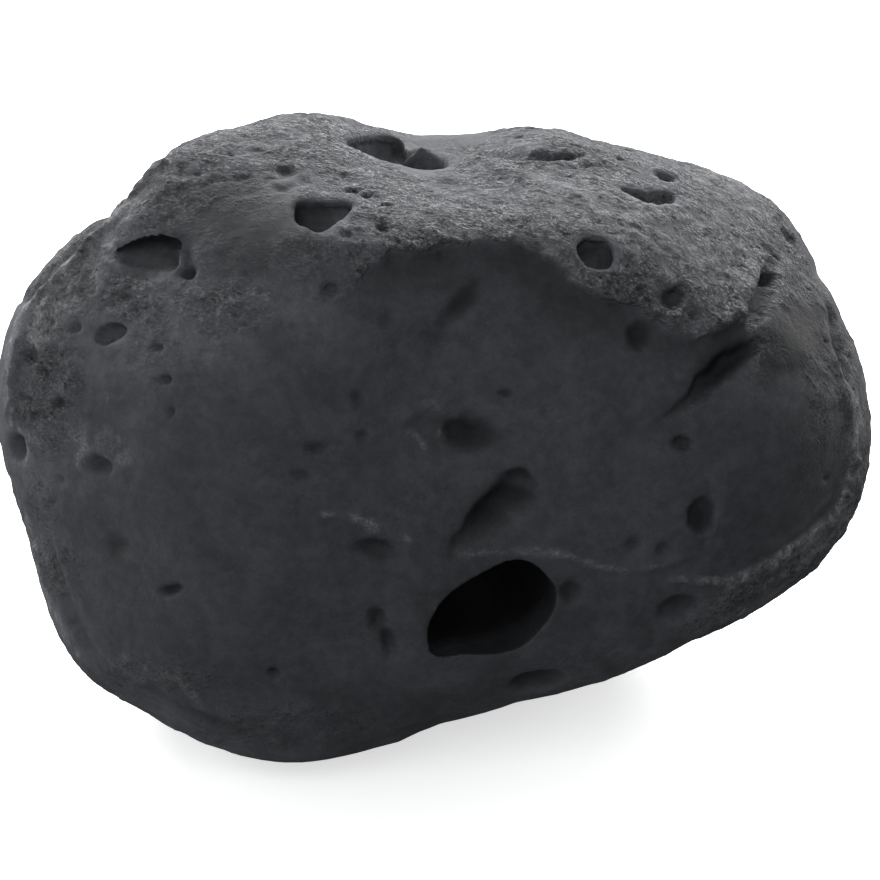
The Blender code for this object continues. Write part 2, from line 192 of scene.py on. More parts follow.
# Dents: name, (u, v), half length, half width, turn, depth, crispness of the rim from 0 to 1,
# and how much deeper the upper part is, from 0 to 1.
DENTS = (
    ("edge_dent", (44, 23), 3.4, 3.6, 0, 1.9, 0.3, 0.5),
    ("plateau_dent", (51.7, 31.5), 3.4, 2.6, 0, 2.2, 0.6, 0.7),
    ("plateau_dent_low", (55.5, 27.5), 2.2, 1.6, 0, 1.0, 0.4, 0.5),
    ("scar_hollow", (6.4, 1.2), 7.8, 5.2, 15, 2.2, 0.1, 0.4),
    ("scar_core", (2.4, 1.3), 1.3, 2.6, 0, 0.8, 0.3, 0.3),
    ("ledge_hollow", (-14.2, -24.2), 6.6, 2.7, -13, 2.0, 0.2, 0.8),
    ("right_oval", (57.6, -16.7), 3.1, 4.8, 8, 2.4, 0.7, -0.2),
    ("right_oval_tail", (58.4, -23.2), 1.1, 1.7, 0, 1.0, 0.5, 0.3),
    ("bright_speck_pit", (53.2, -0.7), 2.8, 2.3, 0, 2.3, 0.5, 0.6),
    ("front_small", (14.3, 10.1), 2.3, 1.1, 0, 1.7, 0.6, 0.5),
    ("lower_left_round", (-36.3, -51.7), 1.5, 1.5, 0, 1.8, 0.8, 0.2),
    ("crescent", (-59, -33), 3.8, 1.5, 10, 2.0, 0.4, 0.8),
    ("left_band", (-75.2, -5.9), 3.4, 2.2, -12, 1.8, 0.7, 0.9),
    ("left_dot_a", (-83.6, -8.8), 1.0, 1.0, 0, 1.0, 0.8, 0.2),
    ("left_dot_b", (-85.4, -13.6), 1.2, 1.0, 0, 1.0, 0.6, 0.2),
    ("left_dot_c", (-89, 5), 1.0, 1.2, 0, 1.0, 0.6, 0.2),
    ("trio_a", (-62.3, 20.2), 1.9, 1.1, 0, 1.6, 0.8, 0.6),
    ("trio_b", (-60.9, 13.6), 2.0, 1.3, 0, 1.8, 0.8, 0.6),
    ("trio_c", (-59.2, 6.2), 1.0, 1.4, 20, 1.3, 0.8, 0.5),
    ("left_rim_a", (-87.6, 14.8), 1.1, 1.3, 0, 1.6, 0.8, 0.2),
    ("left_rim_b", (-90.2, 18.5), 1.6, 3.0, 0, 1.4, 0.4, 0.4),
    ("left_rim_c", (-84, 8.1), 1.5, 1.7, 0, 1.5, 0.7, 0.3),
    ("left_rim_d", (-80.7, 24.9), 1.9, 1.6, 0, 1.3, 0.5, 0.4),
    ("left_rim_e", (-86, 26.5), 1.5, 1.2, 0, 1.0, 0.4, 0.4),
    ("left_end_hollow", (-93.3, -1.8), 2.2, 3.4, 0, 2.4, 0.6, 0.3),
    ("crumbled_a", (-69.5, 31.5), 1.6, 1.0, 20, 1.2, 0.7, 0.5),
    ("crumbled_b", (-67, 28.5), 1.1, 1.7, 30, 1.2, 0.7, 0.5),
    ("crumbled_c", (-72.5, 30), 1.2, 0.9, 0, 0.9, 0.5, 0.5),
    ("left_soft_a", (-70, -1.5), 3.4, 4.2, 0, 0.7, 0.1, 0.3),
    ("left_soft_b", (-70.8, -23.5), 4.4, 3.3, 0, 1.0, 0.1, 0.3),
    ("left_slot_apron", (-66, 37), 7.4, 3.6, 4, 1.3, 0.1, 0.6),
    ("notch_slit", (-56.0, 36.7), 2.3, 1.0, 0, 2.2, 0.9, 0.3),
    ("notch_head", (-13.6, -39.6), 2.4, 3.4, 15, 2.0, 0.3, 0.3),
    ("notch_foot", (-11.0, -44.6), 1.9, 4.4, 15, 2.0, 0.3, 0.3),
    ("under_hollow", (22, -53), 6.8, 2.6, 8, 2.6, 0.5, 0.8),
    ("square_dent", (52.8, -37.4), 5.8, 3.4, 12, 1.9, 0.4, 0.6),
    ("soft_a", (42.2, -23.1), 2.6, 2.0, 0, 1.2, 0.3, 0.3),
    ("soft_b", (49.5, -24.2), 2.5, 2.2, 0, 1.4, 0.3, 0.3),
    ("beside_great_pit", (29, -33.7), 3.4, 3.0, 0, 2.0, 0.2, 0.3),
    ("crown_soft", (-33.8, 59.2), 2.8, 1.5, 0, 1.3, 0.4, 0.9),
    ("crown_crease", (-44, 57.7), 2.6, 0.8, 0, 1.0, 0.4, 0.6),
    ("crown_small_a", (-16.3, 53.9), 1.5, 0.8, 0, 1.5, 0.8, 0.4),
    ("crown_small_b", (-12.3, 46.8), 1.7, 1.0, 0, 1.2, 0.6, 0.4),
    ("crown_small_c", (-21.5, 58.2), 1.1, 0.6, 0, 0.9, 0.6, 0.4),
    ("crown_small_d", (-28.4, 42), 1.0, 0.7, 0, 0.8, 0.6, 0.4),
    ("black_dot", (0.4, 41.1), 0.8, 0.8, 0, 1.8, 1.0, 0.0),
    ("shoulder_pit", (-24.6, 33), 2.9, 2.3, 0, 1.6, 0.5, 0.8),
    ("middle_a", (-26.8, -1.8), 3.2, 1.9, -10, 1.5, 0.3, 0.5),
    ("middle_b", (-30.4, -8.2), 3.6, 1.8, -15, 1.4, 0.3, 0.5),
    ("middle_c", (-16.9, 1.1), 1.7, 1.7, 0, 1.4, 0.4, 0.4),
    ("middle_d", (-18, 8.8), 1.6, 2.6, 10, 1.3, 0.3, 0.4),
    ("shoulder_spot", (72.3, 36.2), 2.3, 1.6, 0, 2.2, 0.6, 0.3),
    ("right_dot", (85.4, -8.8), 0.8, 0.7, 0, 0.9, 0.8, 0.2),
    ("triangle_wing", (18.0, -13.4), 6.2, 4.4, -10, 1.4, 0.0, 0.3),
    ("front_soft_a", (-11.3, 25.7), 2.8, 3.6, 15, 1.0, 0.1, 0.2),
    ("front_soft_b", (-0.7, 22.1), 4.6, 2.4, 0, 1.0, 0.1, 0.2),
    ("groove_head", (39.5, 14.2), 2.6, 1.0, -50, 1.0, 0.4, 0.3),
)

# Grooves: name, depth, crispness, reach of the right and the left side as the line runs, and
# points along it with the half width at each.
GROOVES = (
    ("slanted_groove", 3.0, 0.0, 1.0, 1.5, (
        (69, 20.8, 2.0), (65.5, 19.4, 2.6), (61, 15.6, 2.7), (57, 11.2, 2.1), (53, 7.5, 1.4),
        (49, 4.8, 0.7),
    )),
    ("triangle_above_great_pit", 2.5, 0.1, 0.9, 2.0, (
        (17.5, -7.5, 1.6), (14.5, -10.5, 2.8), (11, -15, 3.6), (7.5, -19.5, 3.0), (3, -24, 1.6),
    )),
    ("triangle_head", 2.0, 0.4, 1.2, 1.0, ((14, -8, 1.2), (17.5, -7.8, 2.0), (21, -10, 1.2))),
    ("front_diagonal", 1.4, 0.0, 1.0, 1.3, ((9, 34.5, 2.2), (5, 30, 3.0), (1, 25.7, 2.4))),
    ("notch_trough", 1.6, 0.3, 1.0, 1.0, ((-57, 43.6, 1.4), (-56, 40, 1.9), (-55.6, 37, 1.8))),
    ("far_crease", 1.7, 0.4, 0.4, 1.7, (
        (8, 62.4, 0.4), (12, 62.6, 0.7), (17, 62.4, 0.9), (22, 62.0, 1.0), (27.5, 62.0, 1.0),
        (32, 62.8, 0.4),
    )),
    ("right_rim_trough", 2.4, 0.3, 0.8, 0.7, (
        (85.2, 30, 0.6), (86.8, 26.5, 1.7), (87.3, 21.5, 2.0), (88.6, 17, 1.6), (91, 11, 0.7),
    )),
    ("far_crease_low", 0.9, 0.5, 0.5, 1.2, ((29, 59.7, 0.4), (34, 60.2, 0.8), (39, 60.6, 0.4))),
    ("shoulder_recess", 2.4, 0.2, 0.5, 3.2, (
        (71.3, 37.5, 1.2), (70.4, 34, 1.7), (69.2, 30, 1.6), (67.6, 26.5, 1.0),
    )),
    ("far_slope", 2.0, 0.1, 1.2, 1.6, (
        (-59, 64.5, 0.5), (-64, 60.5, 1.2), (-70.5, 52.8, 1.3), (-78, 45.5, 1.4),
        (-87, 36.5, 1.4), (-92, 30.5, 0.9),
    )),
    ("wrinkle_a", 1.3, 0.5, 0.8, 0.8, ((74.2, 48.6, 0.4), (77, 44.5, 0.9), (79.4, 40.8, 0.4))),
    ("wrinkle_b", 1.1, 0.5, 0.8, 0.8, ((70.2, 44, 0.4), (73, 41.5, 0.8), (75.5, 39.3, 0.4))),
    ("foot_crease", 0.8, 0.3, 1.0, 1.6, (
        (-63.8, -54.5, 0.6), (-55, -60, 1.2), (-44, -64.4, 1.3), (-36, -66.2, 0.6),
    )),
    ("side_crease", 0.8, 0.3, 1.0, 1.6, (
        (-85, -25, 0.6), (-83, -33, 1.1), (-80, -41, 1.3), (-74.5, -49.5, 0.7),
    )),
    ("ring_crack", 0.7, 0.8, 1.0, 1.0, (
        (-38.8, 56.8, 0.4), (-36.5, 55.4, 0.6), (-34, 55.2, 0.6), (-32.2, 56.3, 0.6),
        (-32.9, 57.8, 0.4), (-35.5, 58, 0.3), (-38.6, 57.2, 0.4),
    )),
)

# Ridges: name, height, points along the crest with the half width at each.
RIDGES = (
    ("ledge", 1.1, (
        (-25.5, -16.4, 0.8), (-20, -16.2, 1.2), (-15.5, -17.6, 1.4), (-11, -20.3, 1.0),
        (-7, -22.6, 0.6),
    )),
    ("great_pit_ledge", 0.6, (
        (0, -25.5, 0.6), (6.5, -24.8, 0.9), (13, -24.6, 1.1), (20, -24.1, 1.1), (26.5, -24.9, 0.8),
        (33, -27.4, 0.7), (42, -28.6, 0.6), (50, -27.4, 0.6), (55, -25.5, 0.5),
    )),
    ("scar_crest", 0.9, (
        (-9, 3.5, 0.7), (-6, 6, 1.0), (-3.5, 7.3, 1.1), (0, 6.6, 1.0), (4, 5.0, 0.8),
        (7.5, 3.5, 0.6),
    )),
    ("scar_grit", 0.7, ((-6, 2, 0.7), (-3, 0.5, 0.9), (-2, -2, 0.7))),
    ("left_crest", 1.5, (
        (-60, 61.5, 0.4), (-63, 59, 0.9), (-68.2, 52.8, 1.0), (-75, 46.2, 1.1),
        (-83.5, 37.4, 1.1), (-87.5, 33, 1.0), (-91.5, 25, 0.8), (-94, 14, 0.7), (-94.5, 6, 0.7),
    )),
    ("left_streak", 0.8, (
        (-84, 6.5, 0.7), (-81.5, 2, 1.2), (-79, -2.5, 1.3), (-77, -7, 1.0), (-74.5, -8.5, 0.6),
    )),
    ("right_rim", 0.9, (
        (81, 34, 0.7), (84.2, 28, 0.9), (84.8, 20.5, 1.0), (87.4, 14.5, 1.0), (90, 8, 1.0),
        (91, 1, 0.9), (89.6, -8, 0.9), (87.5, -16, 0.8),
    )),
    ("lower_right_lip", 1.2, (
        (91.2, -4, 0.7), (89, -12.5, 0.9), (85.5, -18, 1.1), (79.2, -23.3, 1.2), (73.9, -26.8, 1.2),
        (67.5, -30, 1.0), (61.6, -31.2, 0.8), (51, -30.4, 0.6),
    )),
    ("outer_right_lip", 1.0, (
        (88.5, -19.5, 0.7), (82.5, -25.2, 0.9), (76, -29.5, 0.9), (70, -33.5, 0.7),
    )),
    ("end_right_lip", 0.8, ((92, -9, 0.5), (91, -14, 0.8), (88.5, -18.5, 0.5))),
    ("inner_right_lip", 0.6, ((86, -13, 0.4), (81, -19, 0.7), (75, -23, 0.8), (69, -26, 0.5))),
    ("limb_streak_a", 1.0, (
        (-89, -23, 0.6), (-86.5, -31, 0.9), (-83, -38.5, 1.0), (-78.5, -45.5, 0.6),
    )),
    ("limb_streak_b", 0.8, ((-84.5, -22, 0.6), (-82, -29, 0.9), (-78, -37, 0.9), (-73, -44, 0.5))),
    ("foot_scale_a", 1.0, (
        (-70, -56.3, 0.4), (-66, -57.5, 0.9), (-58, -62.5, 1.0), (-49, -65.8, 0.6),
    )),
    ("foot_scale_b", 0.9, (
        (-72, -50.5, 0.5), (-63, -53.5, 0.8), (-54, -58.5, 0.9), (-44, -61.5, 0.5),
    )),
    ("ripple_a", 0.35, ((-10, -4.5, 0.5), (-4, -5.5, 0.8), (2, -6.5, 0.5))),
    ("ripple_b", 0.35, ((-9, -9, 0.5), (-2, -10, 0.9), (5, -10.5, 0.5))),
    ("ripple_c", 0.35, ((-11, -13.5, 0.5), (-4, -14.2, 0.8), (2, -15.5, 0.5))),
    ("groove_lip", 0.5, ((57.9, 20.8, 0.8), (55.8, 17, 1.0), (53, 12.6, 0.8))),
    ("shoulder_bulge", 1.4, (
        (68.5, 36.5, 1.6), (67.4, 32.5, 2.2), (65.8, 28.5, 2.0), (62.5, 26.2, 1.4),
    )),
)

# Pale streaks, mostly painted highlights along the rims, lips and the lit top, with some dust:
# name, amount, points along the streak with the half width at each.
HIGHLIGHT_AND_DUST_STREAKS = (
    ("ledge", 0.42, (
        (-25, -16.4, 0.6), (-21, -16.8, 0.9), (-17, -17.8, 1.1), (-13, -19.6, 1.3),
        (-9.5, -21, 0.9), (-6.5, -22.2, 0.5),
    )),
    ("great_pit_ledge", 0.35, (
        (4, -25.2, 0.4), (11, -24.8, 0.7), (20, -24.3, 0.7), (27, -25.2, 0.5), (34, -27.6, 0.5),
        (42, -28.8, 0.4), (50, -27.6, 0.4),
    )),
    ("lower_right_lip", 0.8, (
        (91.5, -1.3, 0.6), (90.3, -9, 0.9), (88, -15.4, 1.4), (84, -19.6, 1.5), (79.2, -23.3, 1.6),
        (73.9, -26.8, 1.2),
    )),
    ("lower_right_lip_end", 0.4, (
        (75, -26.2, 1.2), (68, -29.8, 1.3), (61.6, -31.2, 1.0), (51, -30.4, 0.6),
    )),
    ("outer_right_lip", 0.6, ((90, -16, 0.6), (85, -22.5, 0.9), (78, -28, 0.9), (70, -33.5, 0.7))),
    ("right_foot_specks", 0.5, ((58, -40.5, 0.6), (62, -39.6, 0.9), (67, -37, 0.6))),
    ("right_rim", 0.8, (
        (85.4, 27.3, 0.7), (86, 20.2, 0.9), (88.4, 16.5, 0.9), (91.5, 10.3, 1.2), (92.2, 5, 1.5),
        (92, 0, 1.2),
    )),
    ("left_crest", 0.8, (
        (-61.6, 59.8, 0.5), (-65.8, 54.1, 0.7), (-71.5, 49.9, 0.8), (-75.7, 45.8, 0.8),
        (-82.7, 38.7, 0.8), (-89.8, 31, 0.8), (-92.6, 27.5, 0.5),
    )),
    ("left_rim", 0.8, (
        (-92.6, 27.5, 0.5), (-95.3, 19, 0.7), (-94.9, 11, 0.7), (-94, 3.5, 0.5),
    )),
    ("left_end_ring", 0.5, (
        (-95, 3, 0.4), (-93, 2.6, 0.5), (-90.9, 1, 0.5), (-90.5, -2, 0.5), (-91.4, -5, 0.5),
        (-93.5, -6.3, 0.4),
    )),
    ("left_limb", 0.6, (
        (-91, -16.5, 0.6), (-89.8, -23.1, 0.9), (-88, -29.7, 0.9), (-85.4, -37.4, 0.8),
        (-83, -42.2, 0.8), (-79.6, -47.3, 0.5),
    )),
    ("foot_specks", 0.45, (
        (-69, -48, 0.6), (-63, -51, 0.9), (-56, -54, 1.0), (-52, -59, 0.5),
    )),
    ("foot_specks_right", 0.3, ((-33, -59.6, 0.5), (-28, -57.5, 0.4))),
    ("left_streak", 0.5, (
        (-83.8, 6.6, 0.7), (-80.5, 1.5, 1.2), (-78.5, -2, 1.4), (-79.9, -5.5, 0.8),
    )),
    ("left_patch", 0.3, ((-79, 1, 3.0), (-72, -1.5, 4.0), (-70, -4, 2.5))),
    ("scar_crest", 0.5, ((-4.2, 7.9, 0.5), (-2, 7.6, 0.8), (0.2, 6.8, 0.5))),
    ("scar_speck_a", 0.9, ((-7.1, 2.5, 0.4), (-6.5, 1.9, 0.5))),
    ("scar_speck_b", 0.9, ((-5.6, 1.2, 0.4), (-5.0, 0.6, 0.5))),
    ("scar_speck_c", 0.7, ((-3.6, -1.3, 0.5), (-3.0, -1.9, 0.3))),
    ("scar_speck_d", 0.8, ((-0.4, 2.9, 0.4), (-0.4, 2.4, 0.4))),
    ("scar_speck_e", 0.8, ((-0.4, 1.4, 0.4), (-0.4, 0.9, 0.4))),
    ("crust", 0.55, (
        (17, 45.5, 1.6), (22, 43.5, 2.4), (26.5, 40.5, 2.6), (30, 37, 2.4), (33.5, 34.5, 2.2),
        (38.5, 32, 1.6),
    )),
    ("plateau_light_and_dust", 0.6, ((22, 56, 4), (34, 51, 7), (48, 46, 8), (60, 42, 7), (68, 38, 4))),
    ("far_light_and_dust", 0.65, ((56, 58, 3), (62, 55.5, 5), (70, 48, 4))),
    ("hump_light_and_dust", 0.25, ((-48, 64, 3), (-33, 67.5, 5), (-22, 69, 3))),
    ("left_shoulder_light_and_dust", 0.9, ((-72, 42, 3), (-78, 36, 4.5), (-85, 29, 4.5), (-89, 22, 3))),
)

# Gas pits on the front and top: name, depth, how far the bottom lies up the sheet from the
# mouth, how much painted shade darkens its wall, and the outline of the mouth on the sheet.
FRONT_PITS = (
    ("great_pit", 30, -7, 0.3, (
        (-2.5, -41), (-0.9, -37.6), (1.8, -34.2), (5.5, -31.6), (9.2, -29.5), (12.3, -27.9),
        (15, -26.7), (18.1, -26.4), (20.2, -26.9), (22.4, -28.7), (23.9, -30.5), (25.4, -31.8),
        (25.8, -33.7), (25.3, -36.9), (23.9, -39.5), (21.8, -42.1), (19.7, -44.2), (17.6, -45.8),
        (13.9, -46.9), (9.7, -47.3), (4.4, -47), (2.4, -47.8), (-1.4, -47.7), (-2.4, -45.3),
    )),
    ("crown_slot", 5.5, 1.5, 0.1, (
        (-31.9, 51.5), (-31.4, 52.4), (-28.6, 52.6), (-24.2, 52.4), (-20.9, 52.6), (-19.4, 51.7),
        (-19.8, 50.4), (-22, 48.4), (-24.6, 46.9), (-26.4, 45.8), (-29, 46.9), (-31.9, 48),
    )),
    ("left_slot", 6.5, 8, 0.42, (
        (-72.6, 40.7), (-70.8, 41.8), (-68.2, 43.3), (-65.6, 44.2), (-62.7, 44.6), (-59.8, 44.4),
        (-58.3, 43.6), (-57.9, 41.8), (-57.8, 39.2), (-58, 37.2), (-60.5, 36.8), (-64.9, 37.2),
        (-69.3, 38.3), (-71.9, 39.6),
    )),
    ("ring_pit", 2.4, 0.5, 0.3, (
        (-76.2, 22.6), (-75.2, 24.6), (-72.4, 25.9), (-70, 25.4), (-68.9, 24.2), (-70.4, 22.4),
        (-73.2, 21), (-75.4, 21.2),
    )),
    ("ridge_crater", 9, 0.0, 0.05, (
        (-20.9, 65), (-19.3, 66.4), (-15.5, 67.3), (-11.5, 67.2), (-8.4, 66), (-5.8, 65),
        (-3.2, 64.7), (-0.6, 63.6), (1, 61.6), (2.2, 60), (-1.5, 59.6), (-6, 60), (-10, 60.9),
        (-14, 62.3), (-18, 63.8),
    )),
    ("plateau_pit", 8, -1.5, 0.38, (
        (30.1, 41.8), (30.6, 43.6), (32.3, 44.8), (34.5, 45.1), (36.5, 44.4), (38.1, 43.1),
        (38.5, 40.9), (37.8, 38.7), (36.3, 37.8), (33.9, 38.1), (31.7, 39.4),
    )),
    ("far_slot", 2.8, -0.6, 0.1, (
        (39.4, 55.8), (42, 55.4), (45, 54.6), (47.5, 54.9), (50, 54.9), (51.9, 53.9), (51.6, 52.6),
        (49, 52.2), (46.5, 52.2), (43.5, 53.2), (41, 54.6),
    )),
    ("far_slot_small", 2.2, -0.4, 0.1, (
        (47.1, 59), (49.3, 58.8), (51.8, 57.6), (50.4, 57), (48.4, 57.4),
    )),
)

# The same elsewhere: name, azimuth, elevation, half length, half width, depth, turn.
OTHER_PITS = (
    ("back_great_pit", 188, 8, 9.0, 6.5, 11, -25),
    ("back_upper_slot", 165, 42, 7.0, 3.4, 4.5, 15),
    ("back_round", 214, 24, 4.4, 4.0, 5, 0),
    ("back_right_oval", 142, 12, 5.2, 3.4, 4, 60),
    ("back_low_slot", 172, -28, 8.0, 3.2, 4.5, -12),
    ("back_left_pit", 236, -14, 4.8, 3.6, 4, 30),
    ("right_end_pit", 96, -2, 4.6, 3.8, 4.5, 0),
    ("right_end_slot", 108, 30, 5.6, 2.6, 3, -30),
    ("right_low_pit", 82, -34, 4.0, 3.2, 3.5, 20),
    ("left_end_pit", -94, 12, 4.8, 3.6, 4.5, 20),
    ("left_low_slot", -108, -24, 6.4, 2.8, 3.5, -20),
    ("far_top_pit", 190, 54, 5.4, 4.0, 4.5, 10),
    ("far_top_slot", 140, 62, 5.0, 2.4, 3, 70),
)

# The spur that stands in the ridge crater: each corner's (u, v) on the sheet and its depth y.
SPUR = (
    (-4.3, 64.7, 5.5), (-8.6, 60.6, 6.0), (0.0, 59.7, 1.5), (2.4, 60.2, 1.5), (-1.2, 64.2, 6.5),
    (-8, 57, 16.0), (5, 57, 14.0), (0, 54, -2.0),
)

# A pit from its mouth to its bottom: depth and width, as shares of the pit's own.
PIT_PROFILE = (
    (0.0, 1.0), (0.1, 1.02), (0.25, 1.03), (0.42, 1.0), (0.58, 0.91), (0.72, 0.78), (0.84, 0.6),
    (0.93, 0.4), (0.98, 0.2),
)
ABOVE_MOUTH = 2.0  # how far a cutter stands out of the surface
MOUTH_FLARE = 1.08  # how much wider it is there
MOUTH_POINTS = 60
MOUTH_ROUNDS = 12  # rounds of smoothing along a mouth
FREE_ROUNDS = 2  # how many of them smooth it every way, and not only along the line of sight
OVAL_UNEVEN = 0.22  # how far an oval mouth strays from a true oval
PIT_WOBBLE, WOBBLE_WAVELENGTH = 0.05, 6.0  # how far a pit's wall strays
EDGE_ROUNDS = 4  # rounds of smoothing that an edge is compared after
EDGE_HEIGHT = 0.25  # a point that stands out this far from its smoothed place is fully an edge


# ------------------------------------------------------------------------------ mesh helpers


def points_of(mesh):
    """The places of the mesh's vertices, one row each."""
    points = np.empty(len(mesh.vertices) * 3, np.float32)
    mesh.vertices.foreach_get("co", points)
    return points.reshape(-1, 3).astype(np.float64)


def normals_of(mesh):
    """The way out at each vertex."""
    normals = np.empty(len(mesh.vertices) * 3, np.float32)
    mesh.vertices.foreach_get("normal", normals)
    return normals.reshape(-1, 3).astype(np.float64)


def edges_of(mesh):
    """The two vertices of each edge."""
    edges = np.empty(len(mesh.edges) * 2, np.int32)
    mesh.edges.foreach_get("vertices", edges)
    return edges.reshape(-1, 2)


def tree_of(mesh):
    """A search tree of the mesh's faces."""
    bm = bmesh.new()
    bm.from_mesh(mesh)
    tree = BVHTree.FromBMesh(bm)
    bm.free()
    return tree


def set_points(mesh, points):
    """Moves the mesh's vertices."""
    mesh.vertices.foreach_set("co", points.astype(np.float32).ravel())
    mesh.update()


def store(mesh, name, values):
    """Keeps one number for each vertex as a named attribute."""
    attribute = mesh.attributes.get(name) or mesh.attributes.new(name, "FLOAT", "POINT")
    attribute.data.foreach_set("value", values.astype(np.float32))


def evaluated(mesh, add_modifier):
    """The mesh as the modifier that is added to it leaves it."""
    helper = bpy.data.objects.new("helper", mesh)
    bpy.context.scene.collection.objects.link(helper)
    add_modifier(helper.modifiers)
    graph = bpy.context.evaluated_depsgraph_get()
    result = bpy.data.meshes.new_from_object(helper.evaluated_get(graph))
    bpy.data.objects.remove(helper)
    bpy.data.meshes.remove(mesh)
    return result


def modified(mesh, kind, **settings):
    """The mesh as one modifier leaves it."""

    def add_modifier(modifiers):
        modifier = modifiers.new(kind.title(), kind)
        for name, value in settings.items():
            setattr(modifier, name, value)

    return evaluated(mesh, add_modifier)


def remeshed(mesh, voxel, rounds):
    """The mesh with even faces, and lightly smoothed."""
    mesh = modified(mesh, "REMESH", mode="VOXEL", voxel_size=voxel, use_smooth_shade=True)
    set_points(mesh, smoothed(points_of(mesh), edges_of(mesh), rounds))
    return mesh


def smoothed(values, edges, rounds, strength=0.5):
    """Each row of values drawn towards the mean of its neighbours, a number of times."""
    size = len(values)
    ends = np.concatenate([edges, edges[:, ::-1]])
    count = np.maximum(np.bincount(ends[:, 0], minlength=size), 1)
    rows = values.reshape(size, -1).copy()
    for _ in range(rounds):
        for column in rows.T:
            near = np.bincount(ends[:, 0], weights=column[ends[:, 1]], minlength=size) / count
            column += strength * (near - column)
    return rows.reshape(values.shape)


def step(low, high, values):
    """0 below low, 1 above high and a smooth rise between."""
    t = np.clip((values - low) / (high - low), 0.0, 1.0)
    return t * t * (3.0 - 2.0 * t)


def noise_over(points, wavelength, seed):
    """Noise from about -1 to 1 at each point."""
    places = (points / wavelength + seed * NOISE_SHIFT).tolist()
    return np.array([noise.noise(place) for place in places])


def drift_over(points, wavelength, seed):
    """Three independent noises at each point."""
    noise.seed_set(DRIFT_SEED)
    places = (points / wavelength + seed * NOISE_SHIFT).tolist()
    return np.array([noise.noise_vector(place) for place in places])


# -------------------------------------------------------------------------------- the sheet


def on_sheet(points):
    """The place (u, v) on the marking-out sheet of each point, as two arrays."""
    rays = points - EYE
    scale = -SIGHT_DISTANCE / (rays @ SIGHT)
    return (rays @ SHEET_RIGHT) * scale, (rays @ SHEET_UP) * scale


def sheet_target(u, v):
    """The point in space of a place on the sheet."""
    return Vector(MIDDLE + SHEET_RIGHT * u + SHEET_UP * v)


def sighted(tree, u, v):
    """Where the sight line through a place on the sheet meets the surface, and the way out."""
    target = sheet_target(u, v)
    spot, normal, _, _ = tree.ray_cast(Vector(EYE), (target - Vector(EYE)).normalized())
    if spot is None:  # just past the skyline
        spot, normal, _, _ = tree.find_nearest(target)
    return spot, normal


def on_sight_line(u, v, y):
    """The point at depth y on the sight line through a place on the sheet."""
    eye, target = Vector(EYE), sheet_target(u, v)
    return eye + (target - eye) * ((y - eye.y) / (target.y - eye.y))


def turned_to(tree, azimuth, elevation):
    """Where a side with this azimuth and elevation meets the surface, and the way out."""
    out = Vector(facing(azimuth, elevation))
    spot, normal, _, _ = tree.ray_cast(Vector(MIDDLE) + out * SIGHT_DISTANCE, -out)
    return spot, normal


def frame_at(normal, turn):
    """A matrix whose Z is the way out and whose X lies along the surface, turned from level."""
    level = Vector((0.0, 0.0, 1.0)).cross(normal)
    if level.length < 0.05:
        level = Vector((1, 0, 0))
    level.normalize()
    up = normal.cross(level)
    along = level * cos(radians(turn)) + up * sin(radians(turn))
    return Matrix((along, normal.cross(along), normal)).transposed()


def along_line(u, v, line):
    """How far each place is from a line of (u, v, value), and the line's value there.

    The distance is positive on the left of the line, as it runs, and negative on the right.
    """
    best = np.full(len(u), np.inf)
    side = np.ones(len(u))
    value = np.zeros(len(u))
    for (u0, v0, a0), (u1, v1, a1) in zip(line, line[1:]):
        du, dv = u1 - u0, v1 - v0
        t = np.clip(((u - u0) * du + (v - v0) * dv) / (du * du + dv * dv), 0.0, 1.0)
        away = np.hypot(u - u0 - t * du, v - v0 - t * dv)
        nearer = away < best
        best = np.where(nearer, away, best)
        side = np.where(nearer, np.where(du * (v - v0) < dv * (u - u0), -1.0, 1.0), side)
        value = np.where(nearer, a0 + t * (a1 - a0), value)
    return best * side, value


def inside(u, v, outline):
    """Whether each place lies inside a closed outline on the sheet."""
    result = np.zeros(len(u), bool)
    for (u0, v0, *_), (u1, v1, *_) in zip(outline, outline[1:] + outline[:1]):
        if v0 == v1:
            continue
        crosses = (v > v0) != (v > v1)
        result ^= crosses & (u < u0 + (v - v0) * (u1 - u0) / (v1 - v0))
    return result


def closed_curve(corners, count):
    """Points spaced along a smooth closed curve through the corners."""
    corners = np.array(corners, float)
    shares = np.arange(12)[:, None] / 12
    rows = []
    for i in range(len(corners)):
        a, b, c, d = (corners[(i + k) % len(corners)] for k in (-1, 0, 1, 2))
        rows.append(0.5 * (2 * b + (c - a) * shares + (2 * a - 5 * b + 4 * c - d) * shares**2
                           + (3 * b - a - 3 * c + d) * shares**3))
    rows = np.concatenate(rows)
    gaps = np.linalg.norm(np.roll(rows, -1, axis=0) - rows, axis=1)
    travelled = np.concatenate([[0.0], np.cumsum(gaps)])
    closed = np.vstack([rows, rows[:1]])
    at = np.arange(count) / count * travelled[-1]
    return np.column_stack([np.interp(at, travelled, closed[:, k]) for k in range(closed.shape[1])])


# --------------------------------------------------------------------------- the stone's body


def largest_group(items, neighbours):
    """The largest group of items that hang together through their neighbours."""
    left, largest = set(items), set()
    while left:
        queue = [left.pop()]
        group = set(queue)
        while queue:
            fresh = left.intersection(neighbours(queue.pop()))
            left -= fresh
            group |= fresh
            queue += fresh
        if len(group) > len(largest):
            largest = group
    return largest


def across_smooth_edges(face):
    """The faces that meet this one without a sharp angle."""
    joins = [edge for edge in face.edges if len(edge.link_faces) == 2]
    smooth = [edge for edge in joins if edge.calc_face_angle() < RIM_ANGLE]
    return [other for edge in smooth for other in edge.link_faces]


def pit_faces(bm):
    """Every face that is not part of the largest smooth stretch of the surface."""
    outside = largest_group(bm.faces, across_smooth_edges)
    return [face for face in bm.faces if face not in outside]


